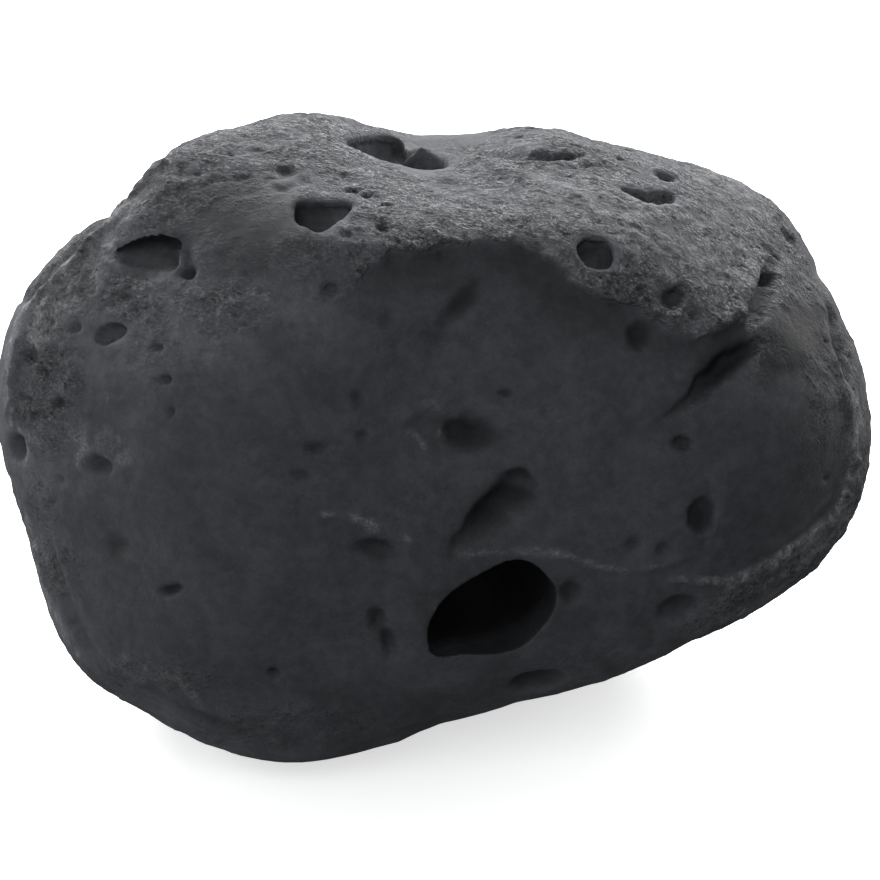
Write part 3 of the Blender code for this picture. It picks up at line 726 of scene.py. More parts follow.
def plain_body(node):
    """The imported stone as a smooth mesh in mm, with its pits filled."""
    bm = bmesh.new()
    bm.from_mesh(node.data)
    bmesh.ops.scale(bm, vec=(1 / MM,) * 3, verts=bm.verts)
    bmesh.ops.remove_doubles(bm, verts=bm.verts, dist=MM)
    bm.normal_update()
    unwanted = pit_faces(bm)
    while unwanted:  # then every face left on a ragged or pinched rim, until the holes are clean
        bmesh.ops.delete(bm, geom=unwanted, context="FACES")
        unwanted = [face for face in bm.faces if sum(edge.is_boundary for edge in face.edges) > 1]
        pinched = [v for v in bm.verts if sum(edge.is_boundary for edge in v.link_edges) > 2]
        unwanted = list({*unwanted, *(face for vert in pinched for face in vert.link_faces)})
    bmesh.ops.holes_fill(bm, edges=[edge for edge in bm.edges if edge.is_boundary])
    bmesh.ops.triangulate(bm, faces=[face for face in bm.faces if len(face.verts) > 3])
    mesh = bpy.data.meshes.new("plain body")
    bm.to_mesh(mesh)
    bm.free()
    return remeshed(mesh, PLAIN_VOXEL, PLAIN_ROUNDS)


def true_outline(mesh):
    """Moves the surface near the outline, as seen from the sighting point, to its true line."""
    points, out = points_of(mesh), normals_of(mesh)
    away, push = along_line(*on_sheet(points), OUTLINE_TRIM + OUTLINE_TRIM[:1])
    sideways = out - np.outer(out @ SIGHT, SIGHT)
    edge_on = np.linalg.norm(sideways, axis=1)
    push *= (1.0 - step(0.0, TRIM_REACH, np.abs(away))) * step(*EDGE_ON, edge_on)
    points += sideways * (push / np.maximum(edge_on, 0.1))[:, None]

    x, half, height, forward = FOOT
    near = np.exp(-(((points[:, 0] - x) / half) ** 2))
    near *= 1.0 - step(0.3, 1.0, points[:, 2] / height)
    points[:, 1] -= forward * near * step(*FOOT_FRONT, -points[:, 1])
    set_points(mesh, points)


def raise_crest(mesh):
    """Sharpens the ridge over the top, and drops the surface behind it."""
    points, out = points_of(mesh), normals_of(mesh)
    away, drop = along_line(points[:, 0], points[:, 1], CREST)
    over = step(*OVER_TOP, out[:, 2])
    fall = drop * step(0.0, CREST_RUN, away) * (1.0 - step(*CREST_FADE, away))
    lift = CREST_LIFT * np.minimum(drop, 1.0) * np.exp(-((away / CREST_WIDTH) ** 2))
    points[:, 2] += (lift - fall) * over
    set_points(mesh, points)


def drifted(points, out):
    """Each point's place on the sheet, led astray a little so that no edge is drawn clean."""
    u, v = on_sheet(points)
    stray = sum(
        amount * drift_over(points, length, seed) for seed, (length, amount) in enumerate(DRIFTS)
    )
    stray *= step(0.1, 0.9, out @ SIGHT)[:, None]
    return u + stray[:, 0], v + stray[:, 1]


def into_smooth_face(u, v):
    """How far each place is inside the smooth face (negative outside), and the drop there."""
    away, drop = along_line(u, v, SMOOTH_FACE + SMOOTH_FACE[:1])
    return np.where(inside(u, v, SMOOTH_FACE), np.abs(away), -np.abs(away)), drop


def rim_profile(r, crisp):
    """1 at the middle of a dent and 0 at its rim, where r is 1."""
    soft = np.clip(1.0 - r * r, 0.0, 1.0) ** 2
    hard = 1.0 - step(0.6, 1.05, r)
    return soft + crisp * (hard - soft)


def sculpt(mesh):
    """Works the placed dents, grooves, ridges and edges into the surface."""
    points, out = points_of(mesh), normals_of(mesh)
    u, v = drifted(points, out)
    signed, drop = into_smooth_face(u, v)
    push = -drop * step(0.0, STEP_RUN, signed) * (1.0 - step(STEP_RUN, STEP_FADE, signed))
    for _, (du, dv), length, width, turn, depth, crisp, lean in DENTS:
        near = np.flatnonzero(np.hypot(u - du, v - dv) < 1.2 * max(length, width))
        x, y = u[near] - du, v[near] - dv
        c, s = cos(radians(turn)), sin(radians(turn))
        x, y = (x * c + y * s) / length, (y * c - x * s) / width
        deeper_above = 1.0 + lean * np.clip(y, -1.0, 1.0) * 0.6
        push[near] -= depth * rim_profile(np.hypot(x, y), crisp) * deeper_above
    for _, depth, crisp, right, left, line in GROOVES:
        away, width = along_line(u, v, line)
        shallow_end = np.minimum(width / max(w for _, _, w in line), 1.0)
        reach = width * np.where(away < 0.0, right, left)
        push -= depth * shallow_end * rim_profile(np.abs(away) / reach, crisp)
    broken = 0.35 + 0.65 * step(-0.4, 0.4, noise_over(points, 5.0, 5))
    for _, height, line in RIDGES:
        away, width = along_line(u, v, line)
        push += height * np.exp(-((away / width) ** 2)) * broken
    seen = step(*SEEN, out @ SIGHT)
    set_points(mesh, points + out * (push * seen)[:, None])


# ------------------------------------------------------------------------------- the gas pits


def sheet_mouth(tree, outline):
    """The mouth of a pit drawn on the sheet, as points on the surface, and the way out of it."""
    hits = [sighted(tree, u, v) for u, v in closed_curve(outline, MOUTH_POINTS)]
    spots = np.array([spot for spot, _ in hits])
    for turn in range(MOUTH_ROUNDS):
        change = (np.roll(spots, 1, axis=0) - 2 * spots + np.roll(spots, -1, axis=0)) / 4
        if turn >= FREE_ROUNDS:  # only along the line of sight, so that the outline stays
            change = np.outer(change @ SIGHT, SIGHT)
        spots += change
    out = np.mean([normal for _, normal in hits], axis=0)
    return spots, out / np.linalg.norm(out)


def round_mouth(tree, azimuth, elevation, length, width, turn):
    """The same for an oval pit given by azimuth and elevation."""
    centre, normal = turned_to(tree, azimuth, elevation)
    axes = frame_at(normal, turn)
    spots = []
    for k in range(MOUTH_POINTS):
        angle = 2 * pi * k / MOUTH_POINTS
        stray = noise.noise((1.6 * cos(angle) + azimuth, 1.6 * sin(angle), 0.0))
        uneven = 1.0 + OVAL_UNEVEN * stray
        flat = centre + axes @ Vector((length * cos(angle), width * sin(angle), 0.0)) * uneven
        spot, _, _, _ = tree.ray_cast(flat + normal * 20.0, -normal)
        spots.append(spot or flat)
    return np.array(spots), np.array(normal)


def pit_cutter(name, spots, out, depth, lean, seed):
    """A closed bag that widens a little under the mouth and rounds off at the bottom."""
    centre = spots.mean(axis=0)
    arms = spots - centre
    uphill = SHEET_UP - out * (SHEET_UP @ out)
    uphill /= np.linalg.norm(uphill)
    rings = [centre + arms * MOUTH_FLARE + out * ABOVE_MOUTH]
    apart = Vector((seed * 9.1, 0, 0))
    for down, wide in PIT_PROFILE:
        # The mouth follows the surface, and the bottom is level.
        level = arms - np.outer(arms @ out, out) * min(1.0, down * 1.5)
        ring = centre + level * wide - out * depth * down + uphill * lean * down
        uneven = np.array([noise.noise(Vector(p) / WOBBLE_WAVELENGTH + apart) for p in ring])
        rings.append(ring + level * (uneven * PIT_WOBBLE * min(1.0, down * 4.0))[:, None])
    bm = bmesh.new()
    loops = [[bm.verts.new(p) for p in ring] for ring in rings]
    size = len(spots)
    for upper, lower in zip(loops, loops[1:]):
        for k in range(size):
            bm.faces.new((upper[k], upper[(k + 1) % size], lower[(k + 1) % size], lower[k]))
    tips = (centre + out * ABOVE_MOUTH, centre - out * depth + uphill * lean)
    for loop, place in zip((loops[0], loops[-1]), tips):
        tip = bm.verts.new(place)
        for k in range(size):
            bm.faces.new((loop[k], loop[(k + 1) % size], tip))
    bmesh.ops.recalc_face_normals(bm, faces=bm.faces)
    bmesh.ops.triangulate(bm, faces=bm.faces)
    mesh = bpy.data.meshes.new(name)
    bm.to_mesh(mesh)
    bm.free()
    return bpy.data.objects.new(name, mesh)


def spur():
    """The spur in the ridge crater, as a closed solid that reaches into the stone."""
    bm = bmesh.new()
    corners = [bm.verts.new(on_sight_line(*place)) for place in SPUR]
    hull = bmesh.ops.convex_hull(bm, input=corners)
    bmesh.ops.delete(bm, geom=hull["geom_interior"] + hull["geom_unused"], context="VERTS")
    bmesh.ops.recalc_face_normals(bm, faces=bm.faces)
    mesh = bpy.data.meshes.new("spur")
    bm.to_mesh(mesh)
    bm.free()
    return bpy.data.objects.new("spur", mesh)


def with_boolean(mesh, operation, others):
    """The mesh after a cut or a join with the other objects, which are then removed."""
    group = bpy.data.collections.new("helpers")
    bpy.context.scene.collection.children.link(group)
    for other in others:
        group.objects.link(other)
    mesh = modified(mesh, "BOOLEAN", operation=operation, solver="MANIFOLD",
                    operand_type="COLLECTION", collection=group)
    for other in others:
        bpy.data.meshes.remove(other.data)
    bpy.data.collections.remove(group)
    return mesh


def cut_pits(mesh):
    """Cuts every gas pit. Returns the mesh and the points round the pits' mouths."""
    tree = tree_of(mesh)
    mouths = [
        (name, *sheet_mouth(tree, outline), depth, lean)
        for name, depth, lean, _, outline in FRONT_PITS
    ]
    for name, azimuth, elevation, length, width, depth, turn in OTHER_PITS:
        spots, out = round_mouth(tree, azimuth, elevation, length, width, turn)
        mouths.append((name, spots, out, depth, 0.0))
    cutters = [pit_cutter(*mouth, seed) for seed, mouth in enumerate(mouths)]
    mesh = with_boolean(mesh, "DIFFERENCE", cutters)
    mesh = with_boolean(mesh, "UNION", [spur()])
    return mesh, np.concatenate([spots for _, spots, _, _, _ in mouths])


# ------------------------------------------------------------------ what the surface is like


def masks_of(mesh, worn_shape, rims):
    """What the surface is like at each point, by name.

    rough is 0 on the smooth front and 1 where the stone is pitted and grainy. relief is how
    much grain and how many pores it has: most where it faces up, little on the pits' rims and
    none inside them. The painted shade is how much shade is painted into the colour, in hollows,
    pits and dark patches, and the pale mark is mostly painted highlight along rims, lips and the
    lit top, with some dust.
    """
    points = points_of(mesh)
    rim_tree = kdtree.KDTree(len(rims))
    for number, spot in enumerate(rims):
        rim_tree.insert(spot, number)
    rim_tree.balance()
    depth, to_rim = np.empty(len(points)), np.empty(len(points))
    out = np.empty(points.shape)  # of the worn shape, not of the pits' walls
    for number, point in enumerate(points.tolist()):
        spot, normal, _, _ = worn_shape.find_nearest(point)
        depth[number] = (spot - Vector(point)).dot(normal)
        out[number] = normal
        to_rim[number] = rim_tree.find(point)[2]
    seen = step(*SEEN, out @ SIGHT)
    signed, drop = into_smooth_face(*drifted(points, out))
    gradual = 1.0 - np.clip(drop / CRISP_STEP, 0.0, 1.0)
    patchy = signed + 5.0 * gradual * noise_over(points, 9.0, 7)
    smooth = step(-0.4 - 4.0 * gradual, 0.8 + SOFT_EDGE * gradual, patchy)
    rough = 1.0 - smooth * seen
    calm = np.maximum(step(*NO_GRAIN_FROM, depth), 0.9 * (1.0 - step(*RIM_BARE, to_rim)))
    uneven = 0.72 + 0.28 * step(-0.3, 0.3, noise_over(points, 16.0, 9))
    gritty = uneven * (LEAST_GRIT + (1.0 - LEAST_GRIT) * step(*GRIT_FACES_UP, out[:, 2]))
    crust = (1.0 - step(CRUST_WIDTH * 0.4, CRUST_WIDTH, -signed)) * (1.0 - gradual)
    behind = BACK_GRIT * step(-0.1, 0.4, noise_over(points, 24.0, 21)) * (1.0 - seen)
    gritty = rough * np.maximum(np.maximum(gritty, crust * seen), behind)
    u, v = on_sheet(points)
    # Painted shade: hollows are darkened by their depth under the worn shape, pit walls less.
    painted_shade = HOLLOW_SHADE * step(*HOLLOW_SHADE_FROM, depth) + DEEP_HOLLOW_SHADE * step(*DEEP_HOLLOW_SHADE_FROM, depth)
    painted_shade *= 1.0 - 0.8 * step(*WALL_FROM, depth)
    # Painted shade on the walls of the gas pits, where they face the sighting point.
    for _, _, _, dark, outline in FRONT_PITS:
        painted_shade = np.where(inside(u, v, outline) & (seen > 0.5), dark, painted_shade)
    ragged = 0.3 * noise_over(points, 5.0, 11) + 0.25 * noise_over(points, 12.0, 23)
    # Calm patches: less grain, and painted shade laid over some of them.
    for (pu, pv), wide, high, amount, dark in CALM_PATCHES:
        reach = np.hypot((u - pu) / wide, (v - pv) / high)
        patch = seen * (1.0 - step(0.3, 1.3, reach + ragged))
        gritty *= 1.0 - amount * patch
        rough *= 1.0 - 0.8 * amount * patch
        painted_shade = np.maximum(painted_shade, dark * patch)
    for (pu, pv), wide, high, amount in GRIT_PATCHES:
        reach = np.hypot((u - pu) / wide, (v - pv) / high)
        patch = amount * (1.0 - step(0.4, 1.0, reach)) * np.maximum(rough, 0.8 * gradual)
        gritty = np.maximum(gritty, patch * seen)
    # Pale marks: mostly painted highlights along the rims, lips and the lit top, with some dust.
    highlight_and_dust = np.zeros(len(points))
    for _, amount, line in HIGHLIGHT_AND_DUST_STREAKS:
        away, width = along_line(u, v, line)
        highlight_and_dust = np.maximum(highlight_and_dust, amount * (1.0 - step(0.3, 1.5, np.abs(away) / width)))
    highlight_and_dust *= seen * (0.15 + 0.85 * step(-0.25, 0.3, noise_over(points, 1.9, 13)))
    relief = gritty * (1.0 - calm)
    # Soft patches of painted shade.
    for (su, sv), length, width, turn, amount in PAINTED_SHADES:
        c, s = cos(radians(turn)), sin(radians(turn))
        along, across = (u - su) * c + (v - sv) * s, (v - sv) * c - (u - su) * s
        reach = np.hypot(along / length, across / width) + 0.5 * ragged
        shade = seen * amount * (1.0 - step(0.1, 1.0, reach))
        painted_shade += (1.0 - painted_shade) * shade
    # Painted shade deep in the pits, towards near black.
    painted_shade += (1.0 - painted_shade) * PIT_BOTTOM_SHADE * step(*VOID_FROM, depth)
    return {"rough": rough, "relief": relief, "painted_shade": painted_shade, "highlight_and_dust": highlight_and_dust}


# ------------------------------------------------------------------- node trees, in short form

GRAIN_DRAWN_OUT, PORE_DRAWN_OUT, FINE_GRAIN_DRAWN_OUT = 0.62, 0.65, 0.65
PORES_PER_MM2 = 0.12
SMALLEST_PORE = 0.4  # added to each pore's radius
FEW_LARGE_PORES = 6.0  # the power that keeps most pores small
SPECULAR = 0.15  # how much the stone's surface mirrors at all


def add(tree, kind, inputs=None, **settings):
    """A new node. Each input is a value or another node's output, by its name or number."""
    made = tree.nodes.new(kind)
    for name, value in settings.items():
        setattr(made, name, value)
    for name, value in (inputs or {}).items():
        if isinstance(value, bpy.types.NodeSocket):
            tree.links.new(value, made.inputs[name])
        else:
            made.inputs[name].default_value = value
    return made


def calc(tree, operation, first, second=0.0):
    """The result of a sum on two numbers."""
    return add(tree, "ShaderNodeMath", {0: first, 1: second}, operation=operation).outputs[0]


def vector_calc(tree, operation, inputs, output=0):
    """The result of a sum on vectors."""
    return add(tree, "ShaderNodeVectorMath", inputs, operation=operation).outputs[output]


def ramp(tree, value, low, high, start=0.0, end=1.0):
    """A smooth rise from start to end as the value goes from low to high."""
    inputs = {"Value": value, "From Min": low, "From Max": high, "To Min": start, "To Max": end}
    made = add(tree, "ShaderNodeMapRange", inputs, interpolation_type="SMOOTHSTEP")
    return made.outputs["Result"]


def noise_at(tree, place, scale, detail=3.0, roughness=0.55, distortion=0.0):
    """Noise from 0 to 1 at a place."""
    return add(tree, "ShaderNodeTexNoise", {
        "Vector": place, "Scale": scale, "Detail": detail, "Roughness": roughness,
        "Distortion": distortion}).outputs[0]


def drawn_out(tree, place, turn, share):
    """A place in a space where patterns come out drawn out along one level direction.

    The smaller the share, the longer they are drawn.
    """
    turned = add(tree, "ShaderNodeVectorRotate", {
        "Vector": place, "Axis": (0.0, 0.0, 1.0), "Angle": turn},
        rotation_type="AXIS_ANGLE").outputs[0]
    return vector_calc(tree, "MULTIPLY", {0: turned, 1: (share, 1.0, 1.0)})


def sockets(tree, inputs, outputs):
    """Gives a node group its named inputs, each with a default, and its named outputs."""
    for name, kind, default in inputs:
        made = tree.interface.new_socket(name, in_out="INPUT", socket_type=f"NodeSocket{kind}")
        if default is not None:
            made.default_value = default
    for name, kind in outputs:
        tree.interface.new_socket(name, in_out="OUTPUT", socket_type=f"NodeSocket{kind}")
    return tree.nodes.new("NodeGroupInput").outputs


def grain_tree():
    """Geometry nodes that scatter pores over a surface and give it its lumps and grain."""
    tree = bpy.data.node_groups.new("pores and grain", "GeometryNodeTree")
    given = sockets(
        tree,
        (
            ("Geometry", "Geometry", None), ("Lump Size", "Float", 5.0),
            ("Lump Height", "Float", 0.5), ("Grain Size", "Float", 1.5),
            ("Grain Height", "Float", 0.25), ("Streak Turn", "Float", 0.0),
            ("Pore Spacing", "Float", 3.0), ("Largest Pore", "Float", 1.8),
            ("Pore Depth", "Float", 0.8), ("Seed", "Int", 1), ("Material", "Material", None),
        ),
        (("Geometry", "Geometry"),),
    )
    place = add(tree, "GeometryNodeInputPosition").outputs[0]
    out = add(tree, "GeometryNodeInputNormal").outputs[0]
    rough, gritty = (
        add(tree, "GeometryNodeInputNamedAttribute", {"Name": name}).outputs["Attribute"]
        for name in ("rough", "relief")
    )
    streaked = drawn_out(tree, place, given["Streak Turn"], GRAIN_DRAWN_OUT)

    # Lumps and grain.
    lumps = noise_at(tree, place, calc(tree, "DIVIDE", 1.0, given["Lump Size"]), 3.0, 0.5, 0.5)
    grains = noise_at(tree, streaked, calc(tree, "DIVIDE", 1.0, given["Grain Size"]), 2.0, 0.6, 0.3)
    lump = calc(tree, "MULTIPLY", calc(tree, "SUBTRACT", lumps, 0.5), given["Lump Height"])
    lump = calc(tree, "MULTIPLY", lump, ramp(tree, rough, 0.0, 1.0, 0.3, 2.0))
    grain = calc(tree, "MULTIPLY", calc(tree, "SUBTRACT", grains, 0.5), given["Grain Height"])
    grain = calc(tree, "MULTIPLY", grain, calc(tree, "MULTIPLY", gritty, 2.0))
    relief = calc(tree, "ADD", lump, grain)

    # Pores: each point's size is drawn at random, and most are small.
    crowded = ramp(tree, noise_at(tree, place, 0.07), 0.42, 0.62, 0.1, 0.8)
    dense = calc(tree, "MULTIPLY", ramp(tree, gritty, 0.1, 0.8, 0.02, 1.0), crowded)
    spread = add(tree, "GeometryNodeDistributePointsOnFaces", {
        "Mesh": given["Geometry"], "Distance Min": given["Pore Spacing"],
        "Density Max": PORES_PER_MM2, "Density Factor": dense, "Seed": given["Seed"]},
        distribute_method="POISSON").outputs["Points"]
    chance = add(tree, "FunctionNodeRandomValue", {"Min": 0.0, "Max": 1.0, "Seed": given["Seed"]},
                 data_type="FLOAT")
    chance = next(o for o in chance.outputs if o.enabled)
    mostly_small = calc(tree, "POWER", chance, FEW_LARGE_PORES)
    radius = calc(tree, "MULTIPLY", mostly_small, given["Largest Pore"])
    radius = calc(tree, "ADD", radius, SMALLEST_PORE)
    pores = add(tree, "GeometryNodeStoreNamedAttribute", {
        "Geometry": spread, "Name": "radius", "Value": radius}, data_type="FLOAT",
        domain="POINT").outputs[0]
    nearest = add(tree, "GeometryNodeSampleNearest", {"Geometry": pores, "Sample Position": place},
                  domain="POINT").outputs[0]

    def from_pores(field, kind):
        made = add(tree, "GeometryNodeSampleIndex", data_type=kind, domain="POINT")
        tree.links.new(pores, made.inputs["Geometry"])
        tree.links.new(field, next(i for i in made.inputs if i.enabled and i.name == "Value"))
        tree.links.new(nearest, made.inputs["Index"])
        return next(o for o in made.outputs if o.enabled)

    centre = from_pores(place, "FLOAT_VECTOR")
    kept = add(tree, "GeometryNodeInputNamedAttribute", {"Name": "radius"}).outputs["Attribute"]
    size = from_pores(kept, "FLOAT")
    apart = vector_calc(tree, "SUBTRACT", {0: place, 1: centre})
    apart = drawn_out(tree, apart, given["Streak Turn"], PORE_DRAWN_OUT)
    away = vector_calc(tree, "LENGTH", {0: apart}, "Value")
    uneven = calc(tree, "MULTIPLY", calc(tree, "SUBTRACT", grains, 0.5), 1.6)
    share = calc(tree, "ADD", calc(tree, "DIVIDE", away, size), uneven)
    hollow = ramp(tree, share, 0.3, 1.0, 1.0, 0.0)
    hollow = calc(tree, "MULTIPLY", calc(tree, "MULTIPLY", hollow, size), given["Pore Depth"])
    height = calc(tree, "SUBTRACT", relief, hollow)

    shift = vector_calc(tree, "SCALE", {0: out, "Scale": height})
    moved = add(tree, "GeometryNodeSetPosition", {"Geometry": given["Geometry"], "Offset": shift})
    whole = add(tree, "GeometryNodeRealizeInstances", {"Geometry": moved.outputs[0]})
    clad = add(tree, "GeometryNodeSetMaterial", {
        "Geometry": whole.outputs[0], "Material": given["Material"]})
    tree.links.new(clad.outputs[0], tree.nodes.new("NodeGroupOutput").inputs[0])
    return tree


def through_nodes(mesh, tree, **values):
    """The mesh as a geometry nodes tree leaves it, with the tree's inputs given by name."""

    def add_modifier(modifiers):
        modifier = modifiers.new(tree.name, "NODES")
        modifier.node_group = tree
        for name, value in values.items():
            title = name.replace("_", " ").title()
            modifier[tree.interface.items_tree[title].identifier] = value

    return evaluated(mesh, add_modifier)


def grain_group():
    """Shader group: crumpled grain and pinholes, as a height, with painted highlights on the crests
    and painted shade in the pinholes.
    """
    tree = bpy.data.node_groups.new("crumpled grain", "ShaderNodeTree")
    given = sockets(
        tree,
        (("Vector", "Vector", None), ("Grain Size", "Float", 0.0008), ("Rough", "Float", 1.0)),
        (("Height", "Float"), ("Crest Highlight", "Float"), ("Pinhole Shade", "Float")),
    )
    scale = calc(tree, "DIVIDE", 1.0, given["Grain Size"])
    coarse = noise_at(tree, given["Vector"], calc(tree, "MULTIPLY", scale, 0.4), 5.0, 0.65, 0.8)
    bands = noise_at(tree, given["Vector"], calc(tree, "MULTIPLY", scale, 0.12))
    bands = ramp(tree, bands, 0.35, 0.6, 0.35, 1.0)
    fold = calc(tree, "ABSOLUTE", calc(tree, "SUBTRACT", coarse, 0.5))
    crest = ramp(tree, fold, 0.0, 0.16, 1.0, 0.0)
    fine = noise_at(tree, given["Vector"], calc(tree, "MULTIPLY", scale, 1.5), 3.0, 0.7, 0.3)
    cells = add(tree, "ShaderNodeTexVoronoi", {
        "Vector": given["Vector"], "Scale": calc(tree, "MULTIPLY", scale, 0.45)},
        feature="F1").outputs["Distance"]
    pinhole = calc(tree, "ADD", cells, calc(tree, "MULTIPLY", fine, 0.5))
    pinhole = ramp(tree, pinhole, 0.3, 0.55, 1.0, 0.0)
    rough = calc(tree, "MULTIPLY", ramp(tree, given["Rough"], 0.0, 1.0, 0.06, 1.0), bands)
    height = calc(tree, "MULTIPLY", crest, 0.6)
    height = calc(tree, "ADD", height, calc(tree, "MULTIPLY", fine, 0.9))
    height = calc(tree, "SUBTRACT", height, calc(tree, "MULTIPLY", pinhole, 0.8))
    highlight_and_dust = ramp(tree, crest, 0.0, 1.0, 0.35, 1.0)
    highlight_and_dust = calc(tree, "MULTIPLY", ramp(tree, fine, 0.48, 0.6), highlight_and_dust)
    result = tree.nodes.new("NodeGroupOutput").inputs
    tree.links.new(calc(tree, "MULTIPLY", height, rough), result["Height"])
    tree.links.new(calc(tree, "MULTIPLY", highlight_and_dust, rough), result["Crest Highlight"])
    tree.links.new(calc(tree, "MULTIPLY", pinhole, rough), result["Pinhole Shade"])
    return tree


def stone_material(finish):
    """Dark basalt: near black where water has smoothed it and paler where it is rough, with painted
    highlights and some dust on the pale marks, and painted shade in hollows and pits.
    """
    material = bpy.data.materials.new("worn basalt")
    material.use_nodes = True
    tree = material.node_tree
    shader = tree.nodes["Principled BSDF"]
    shader.inputs["Specular IOR Level"].default_value = SPECULAR
    place = add(tree, "ShaderNodeTexCoord").outputs["Object"]
    rough, painted_shade, edge, relief, highlight_and_dust = (
        add(tree, "ShaderNodeAttribute", attribute_name=name).outputs["Fac"]
        for name in ("rough", "painted_shade", "edge", "relief", "highlight_and_dust")
    )
    grain = add(tree, "ShaderNodeGroup")
    grain.node_tree = grain_group()
    streaked = drawn_out(tree, place, finish.streak_turn, FINE_GRAIN_DRAWN_OUT)
    tree.links.new(streaked, grain.inputs["Vector"])
    tree.links.new(relief, grain.inputs["Rough"])
    grain.inputs["Grain Size"].default_value = finish.grain_size

    def blend(factor, first, second):
        """The first colour turned into the second by the factor."""
        made = add(tree, "ShaderNodeMix", data_type="RGBA")
        ports = [i for i in made.inputs if i.enabled]
        for port, value in zip(ports, (factor, first, second)):
            if isinstance(value, bpy.types.NodeSocket):
                tree.links.new(value, port)
            else:
                port.default_value = value
        return next(o for o in made.outputs if o.enabled)

    def paint(colour):
        return (*colour, 1.0)

    normal = add(tree, "ShaderNodeNewGeometry").outputs["Normal"]
    upward = add(tree, "ShaderNodeSeparateXYZ", {"Vector": normal}).outputs["Z"]
    upward = ramp(tree, upward, 0.2, 0.95)
    blotch = ramp(tree, noise_at(tree, place, 90.0, 5.0, 0.65, 0.6), 0.34, 0.66, 0.85, 1.15)
    mottle = ramp(tree, noise_at(tree, place, 420.0, 4.0, 0.65), 0.32, 0.68, 0.88, 1.12)
    # Painted highlights on the grain's crests, more where the surface faces up, and the pale marks,
    # mostly painted highlight with some dust, go towards the pale colour; edges are paler from
    # wear.
    highlight_and_dust_share = calc(tree, "MULTIPLY", grain.outputs["Crest Highlight"], ramp(tree, upward, 0.0, 1.0, 0.4, 1.0))
    pale_edge = calc(tree, "MULTIPLY", ramp(tree, edge, 0.3, 1.0), 0.3)
    colour = blend(rough, paint(finish.smooth_colour), paint(finish.rough_colour))
    speckle = ramp(tree, noise_at(tree, place, 1300.0, 2.0, 0.7), 0.42, 0.58, 0.35, 1.0)
    highlight_and_dust_share = calc(tree, "MAXIMUM", highlight_and_dust_share, calc(tree, "MULTIPLY", highlight_and_dust, speckle))
    colour = blend(calc(tree, "MAXIMUM", highlight_and_dust_share, pale_edge), colour, paint(finish.highlight_and_dust_colour))
    # Painted shade: hollows, pits, dark patches and pinholes are turned towards near black.
    dark = calc(tree, "MAXIMUM", painted_shade, calc(tree, "MULTIPLY", grain.outputs["Pinhole Shade"], 0.6))
    colour = blend(dark, colour, paint(finish.pit_shade_colour))
    tone = calc(tree, "MULTIPLY", blotch, mottle)
    toned = vector_calc(tree, "SCALE", {0: colour, "Scale": tone})
    tree.links.new(toned, shader.inputs["Base Color"])
    dull = ramp(tree, rough, 0.0, 1.0, finish.smooth_roughness, finish.rough_roughness)
    tree.links.new(dull, shader.inputs["Roughness"])
    bump = add(tree, "ShaderNodeBump", {
        "Height": grain.outputs["Height"], "Strength": 1.0, "Distance": finish.grain_height})
    tree.links.new(bump.outputs[0], shader.inputs["Normal"])
    return material


# ------------------------------------------------------------------------------- the stone


def drop_specks(mesh):
    """Deletes what floats free of the stone, such as a sliver between two cuts."""
    bm = bmesh.new()
    bm.from_mesh(mesh)
    stone = largest_group(
        bm.verts, lambda vert: [edge.other_vert(vert) for edge in vert.link_edges]
    )
    bmesh.ops.delete(bm, geom=[vert for vert in bm.verts if vert not in stone], context="VERTS")
    bm.to_mesh(mesh)
    bm.free()


def keep_in_box(mesh):
    """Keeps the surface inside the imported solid's box, whose bottom is the ground."""
    low, high = (np.array(corner) / MM for corner in CAD_BOX)
    set_points(mesh, np.clip(points_of(mesh), low, high))


def edge_of(mesh):
    """How far each point stands out from its neighbours, from -1 in a crease to 1 on an edge."""
    points = points_of(mesh)
    near = smoothed(points, edges_of(mesh), EDGE_ROUNDS)
    return np.clip(((points - near) * normals_of(mesh)).sum(axis=1) / EDGE_HEIGHT, -1.0, 1.0)


def make_stone(shape, finish):
    """The whole stone: its worn shape, the placed features, the pits, and the pores and grain."""
    mesh = remeshed(plain_body(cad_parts["stone"]), FINE_VOXEL, FINE_ROUNDS)
    true_outline(mesh)
    raise_crest(mesh)
    worn_shape = tree_of(mesh)
    sculpt(mesh)
    mesh, rims = cut_pits(mesh)
    mesh = remeshed(mesh, FINISH_VOXEL, FINISH_ROUNDS)
    for name, values in masks_of(mesh, worn_shape, rims).items():
        store(mesh, name, values)
    mesh = through_nodes(
        mesh, grain_tree(),
        lump_size=shape.lump_size / MM, lump_height=shape.lump_height / MM,
        grain_size=shape.grain_size / MM, grain_height=shape.grain_height / MM,
        streak_turn=finish.streak_turn, pore_spacing=shape.pore_spacing / MM,
        largest_pore=shape.largest_pore / MM, pore_depth=shape.pore_depth, seed=shape.seed,
        material=stone_material(finish),
    )
    store(mesh, "edge", edge_of(mesh))
    triangles = sum(len(polygon.vertices) - 2 for polygon in mesh.polygons)
    mesh = modified(mesh, "DECIMATE", ratio=min(1.0, MOST_TRIANGLES / triangles))
    drop_specks(mesh)
    keep_in_box(mesh)
    set_points(mesh, points_of(mesh) * MM)
    mesh.shade_smooth()
    stone = bpy.data.objects.new("river_rock", mesh)
    bpy.context.scene.collection.objects.link(stone)
    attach(stone, "root")
    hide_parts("stone")


# ------------------------------------------------------------------------------- the studio

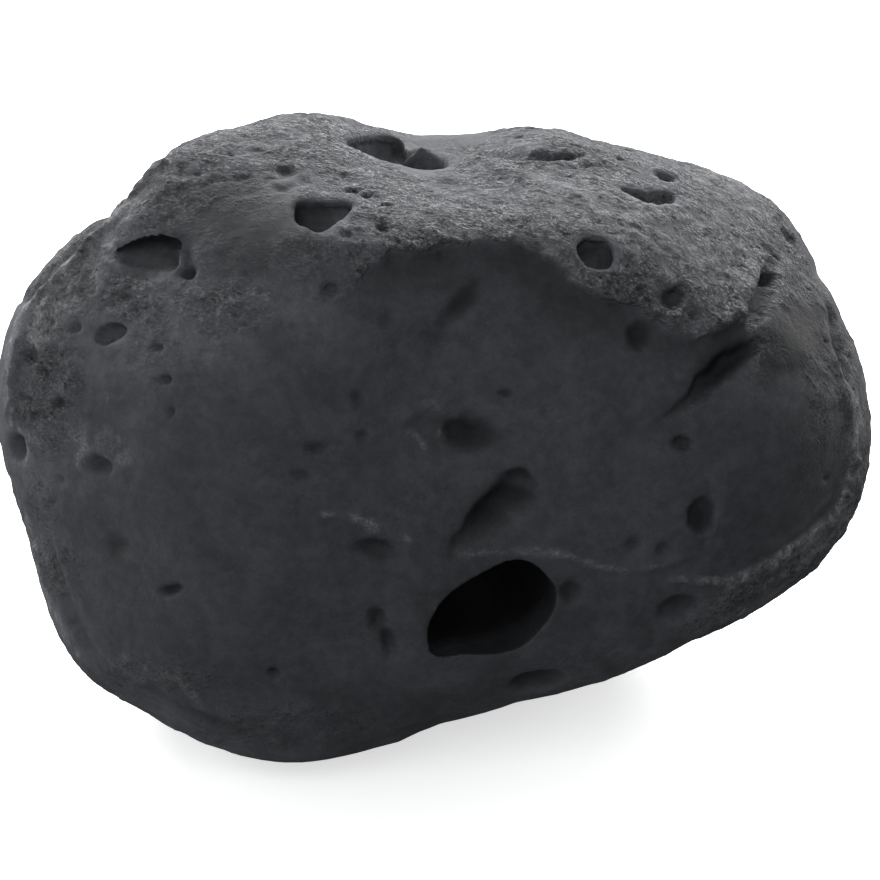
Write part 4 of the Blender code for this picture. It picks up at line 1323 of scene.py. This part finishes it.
# Name, azimuth, elevation and share of the power.
SOFTBOXES = (
    ("back_softbox", 180, 45, 0.83),
    ("back_right_softbox", 150, 30, 1.0),
    ("back_left_softbox", -150, 30, 0.96),
    ("right_softbox", 118, 12, 0.45),
    ("left_softbox", -118, 5, 0.36),
    ("front_softbox", 0, 40, 0.19),
)
BRIGHT_SIDE = (-0.85, -0.5, 0.05)  # the side that most of the room's light comes from
DIM_SIDE_AT, BRIGHT_SIDE_AT = -0.5, 0.8  # where the light is weakest and strongest
SHEET_WIDTH = 193.6  # what the camera sees across, at the stone's middle
SENSOR = 36.0


def make_floor(studio):
    """A plain pale floor, which throws no light of its own on the stone."""
    bm = bmesh.new()
    bmesh.ops.create_grid(bm, x_segments=1, y_segments=1, size=studio.floor_size / 2)
    mesh = bpy.data.meshes.new("studio_floor")
    bm.to_mesh(mesh)
    bm.free()
    floor = bpy.data.objects.new("studio_floor", mesh)
    bpy.context.scene.collection.objects.link(floor)
    material = bpy.data.materials.new("pale floor")
    material.use_nodes = True
    shader = material.node_tree.nodes["Principled BSDF"]
    shader.inputs["Base Color"].default_value = (*studio.floor_colour, 1.0)
    shader.inputs["Roughness"].default_value = 0.9
    shader.inputs["Emission Color"].default_value = (1.0, 1.0, 1.0, 1.0)
    shader.inputs["Emission Strength"].default_value = studio.floor_glow
    mesh.materials.append(material)
    floor.visible_diffuse = False
    floor.visible_glossy = False


def light_room(studio):
    """An even, soft light from all round, stronger from one side."""
    world = bpy.data.worlds.new("studio")
    bpy.context.scene.world = world
    world.use_nodes = True
    tree = world.node_tree
    background = tree.nodes["Background"]
    direction = add(tree, "ShaderNodeTexCoord").outputs["Generated"]
    bright = Vector(BRIGHT_SIDE).normalized()
    towards = vector_calc(tree, "DOT_PRODUCT", {0: direction, 1: bright}, "Value")
    strength = ramp(tree, towards, DIM_SIDE_AT, BRIGHT_SIDE_AT, studio.dim_side, studio.bright_side)
    tree.links.new(strength, background.inputs["Strength"])
    background.inputs["Color"].default_value = (*studio.room_colour, 1.0)


def make_softbox(studio, name, azimuth, elevation, share):
    """A round softbox that faces the stone."""
    light = bpy.data.lights.new(name, "AREA")
    light.shape = "DISK"
    light.size = studio.softbox_size
    light.energy = studio.softbox_power * share
    lamp = bpy.data.objects.new(name, light)
    middle = Vector(MIDDLE) * MM
    lamp.location = middle + Vector(facing(azimuth, elevation)) * studio.softbox_distance
    lamp.rotation_euler = (middle - lamp.location).to_track_quat("-Z", "Y").to_euler()
    bpy.context.scene.collection.objects.link(lamp)


def make_camera():
    """The camera, at the sighting point."""
    camera = bpy.data.cameras.new("camera")
    camera.sensor_width = SENSOR
    camera.lens = SENSOR * SIGHT_DISTANCE / SHEET_WIDTH
    eye = bpy.data.objects.new("camera", camera)
    axes = Matrix((SHEET_RIGHT, SHEET_UP, SIGHT)).transposed()
    eye.matrix_world = Matrix.Translation(Vector(EYE) * MM) @ axes.to_4x4()
    bpy.context.scene.collection.objects.link(eye)
    bpy.context.scene.camera = eye


# ------------------------------------------------------------------------------- the add-on


class RiverRockShape(bpy.types.PropertyGroup):
    """The sizes of the stone's lumps, grain and pores."""

    lump_size: FloatProperty(
        name="Lump Size", description="Distance between the low lumps of the rough parts",
        default=0.006, unit="LENGTH")
    lump_height: FloatProperty(
        name="Lump Height", description="Height of the lumps", default=0.0007, unit="LENGTH")
    grain_size: FloatProperty(
        name="Grain Size", description="Distance between the coarse grains",
        default=0.0026, unit="LENGTH")
    grain_height: FloatProperty(
        name="Grain Height", description="Height of the coarse grains",
        default=0.0007, unit="LENGTH")
    pore_spacing: FloatProperty(
        name="Pore Spacing", description="Least distance between two pores",
        default=0.0038, unit="LENGTH")
    largest_pore: FloatProperty(
        name="Largest Pore", description="Radius of the largest pores",
        default=0.0009, unit="LENGTH")
    pore_depth: FloatProperty(
        name="Pore Depth", description="Depth of a pore as a share of its radius", default=0.9)
    seed: IntProperty(name="Seed", description="Picks one scatter of pores", default=3)


class RiverRockFinish(bpy.types.PropertyGroup):
    """The stone's colours and fine surface."""

    smooth_colour: FloatVectorProperty(
        name="Smooth Colour", description="Where water has worn the stone smooth",
        default=(0.0358, 0.0375, 0.0418), subtype="COLOR")
    rough_colour: FloatVectorProperty(
        name="Rough Colour", description="Where the stone is rough",
        default=(0.067, 0.069, 0.0748), subtype="COLOR")
    highlight_and_dust_colour: FloatVectorProperty(
        name="Highlight And Dust Colour", description="The flecks and the worn edges",
        default=(0.225, 0.225, 0.232), subtype="COLOR")
    pit_shade_colour: FloatVectorProperty(
        name="Pit Shade Colour", description="The bottoms of the pits",
        default=(0.004, 0.004, 0.0045), subtype="COLOR")
    smooth_roughness: FloatProperty(
        name="Smooth Roughness", description="Roughness of the smooth parts",
        default=0.72, subtype="FACTOR")
    rough_roughness: FloatProperty(
        name="Rough Roughness", description="Roughness of the rough parts",
        default=0.92, subtype="FACTOR")
    grain_size: FloatProperty(
        name="Fine Grain Size", description="Distance between the fine grains",
        default=0.0009, unit="LENGTH")
    grain_height: FloatProperty(
        name="Fine Grain Height", description="Height of the fine grains",
        default=0.0012, unit="LENGTH")
    streak_turn: FloatProperty(
        name="Streak Turn", description="Direction that the grain is drawn out along",
        default=radians(25), unit="ROTATION")


class RiverRockStudio(bpy.types.PropertyGroup):
    """The floor and the lights."""

    floor_size: FloatProperty(
        name="Floor Size", description="Length of the floor's sides", default=8.0, unit="LENGTH")
    floor_colour: FloatVectorProperty(
        name="Floor Colour", description="Colour of the floor", default=(0.8, 0.8, 0.8),
        subtype="COLOR")
    floor_glow: FloatProperty(
        name="Floor Glow", description="Light that the floor gives off, so that it looks white",
        default=0.62)
    room_colour: FloatVectorProperty(
        name="Room Colour", description="Colour of the room's light", default=(0.95, 0.98, 1.0),
        subtype="COLOR")
    dim_side: FloatProperty(
        name="Dim Side", description="Strength of the room's light on its dim side", default=0.03)
    bright_side: FloatProperty(
        name="Bright Side", description="Strength of the room's light on its bright side",
        default=0.75)
    softbox_power: FloatProperty(
        name="Softbox Power", description="Power of the strongest softbox", default=29.0,
        unit="POWER")
    softbox_size: FloatProperty(
        name="Softbox Size", description="Width of each softbox", default=0.9, unit="LENGTH")
    softbox_distance: FloatProperty(
        name="Softbox Distance", description="Distance of each softbox from the stone",
        default=1.4, unit="LENGTH")


class RIVERROCK_OT_make_stone(bpy.types.Operator):
    """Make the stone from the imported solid"""

    bl_idname = "river_rock.make_stone"
    bl_label = "Make the Stone"

    def execute(self, context):
        if "stone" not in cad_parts:
            raise RuntimeError("the packed part has no node named stone")
        make_stone(context.scene.river_rock_shape, context.scene.river_rock_finish)
        return {"FINISHED"}


class RIVERROCK_OT_make_studio(bpy.types.Operator):
    """Make the floor, the lights and the camera"""

    bl_idname = "river_rock.make_studio"
    bl_label = "Make the Studio"

    def execute(self, context):
        studio = context.scene.river_rock_studio
        make_floor(studio)
        light_room(studio)
        for softbox in SOFTBOXES:
            make_softbox(studio, *softbox)
        make_camera()
        context.scene.view_settings.view_transform = "Standard"
        return {"FINISHED"}


class RIVERROCK_PT_panel(bpy.types.Panel):
    """Lists the stone's and the studio's operators and settings"""

    bl_label = "River Rock"
    bl_space_type = "VIEW_3D"
    bl_region_type = "UI"
    bl_category = "River Rock"

    def draw(self, context):
        for group, operator in (
            ("river_rock_shape", None),
            ("river_rock_finish", "river_rock.make_stone"),
            ("river_rock_studio", "river_rock.make_studio"),
        ):
            box = self.layout.box()
            settings = getattr(context.scene, group)
            for name in settings.__annotations__:
                box.prop(settings, name)
            if operator:
                box.operator(operator)


CLASSES = (
    RiverRockShape, RiverRockFinish, RiverRockStudio, RIVERROCK_OT_make_stone,
    RIVERROCK_OT_make_studio, RIVERROCK_PT_panel,
)


def register():
    """Registers the add-on's classes and settings."""
    for made in CLASSES:
        bpy.utils.register_class(made)
    bpy.types.Scene.river_rock_shape = PointerProperty(type=RiverRockShape)
    bpy.types.Scene.river_rock_finish = PointerProperty(type=RiverRockFinish)
    bpy.types.Scene.river_rock_studio = PointerProperty(type=RiverRockStudio)


def unregister():
    """Takes them away again."""
    for name in ("river_rock_shape", "river_rock_finish", "river_rock_studio"):
        delattr(bpy.types.Scene, name)
    for made in reversed(CLASSES):
        bpy.utils.unregister_class(made)


def main():
    """Makes everything."""
    register()
    bpy.ops.river_rock.make_stone()
    bpy.ops.river_rock.make_studio()


if __name__ == "__main__":
    main()
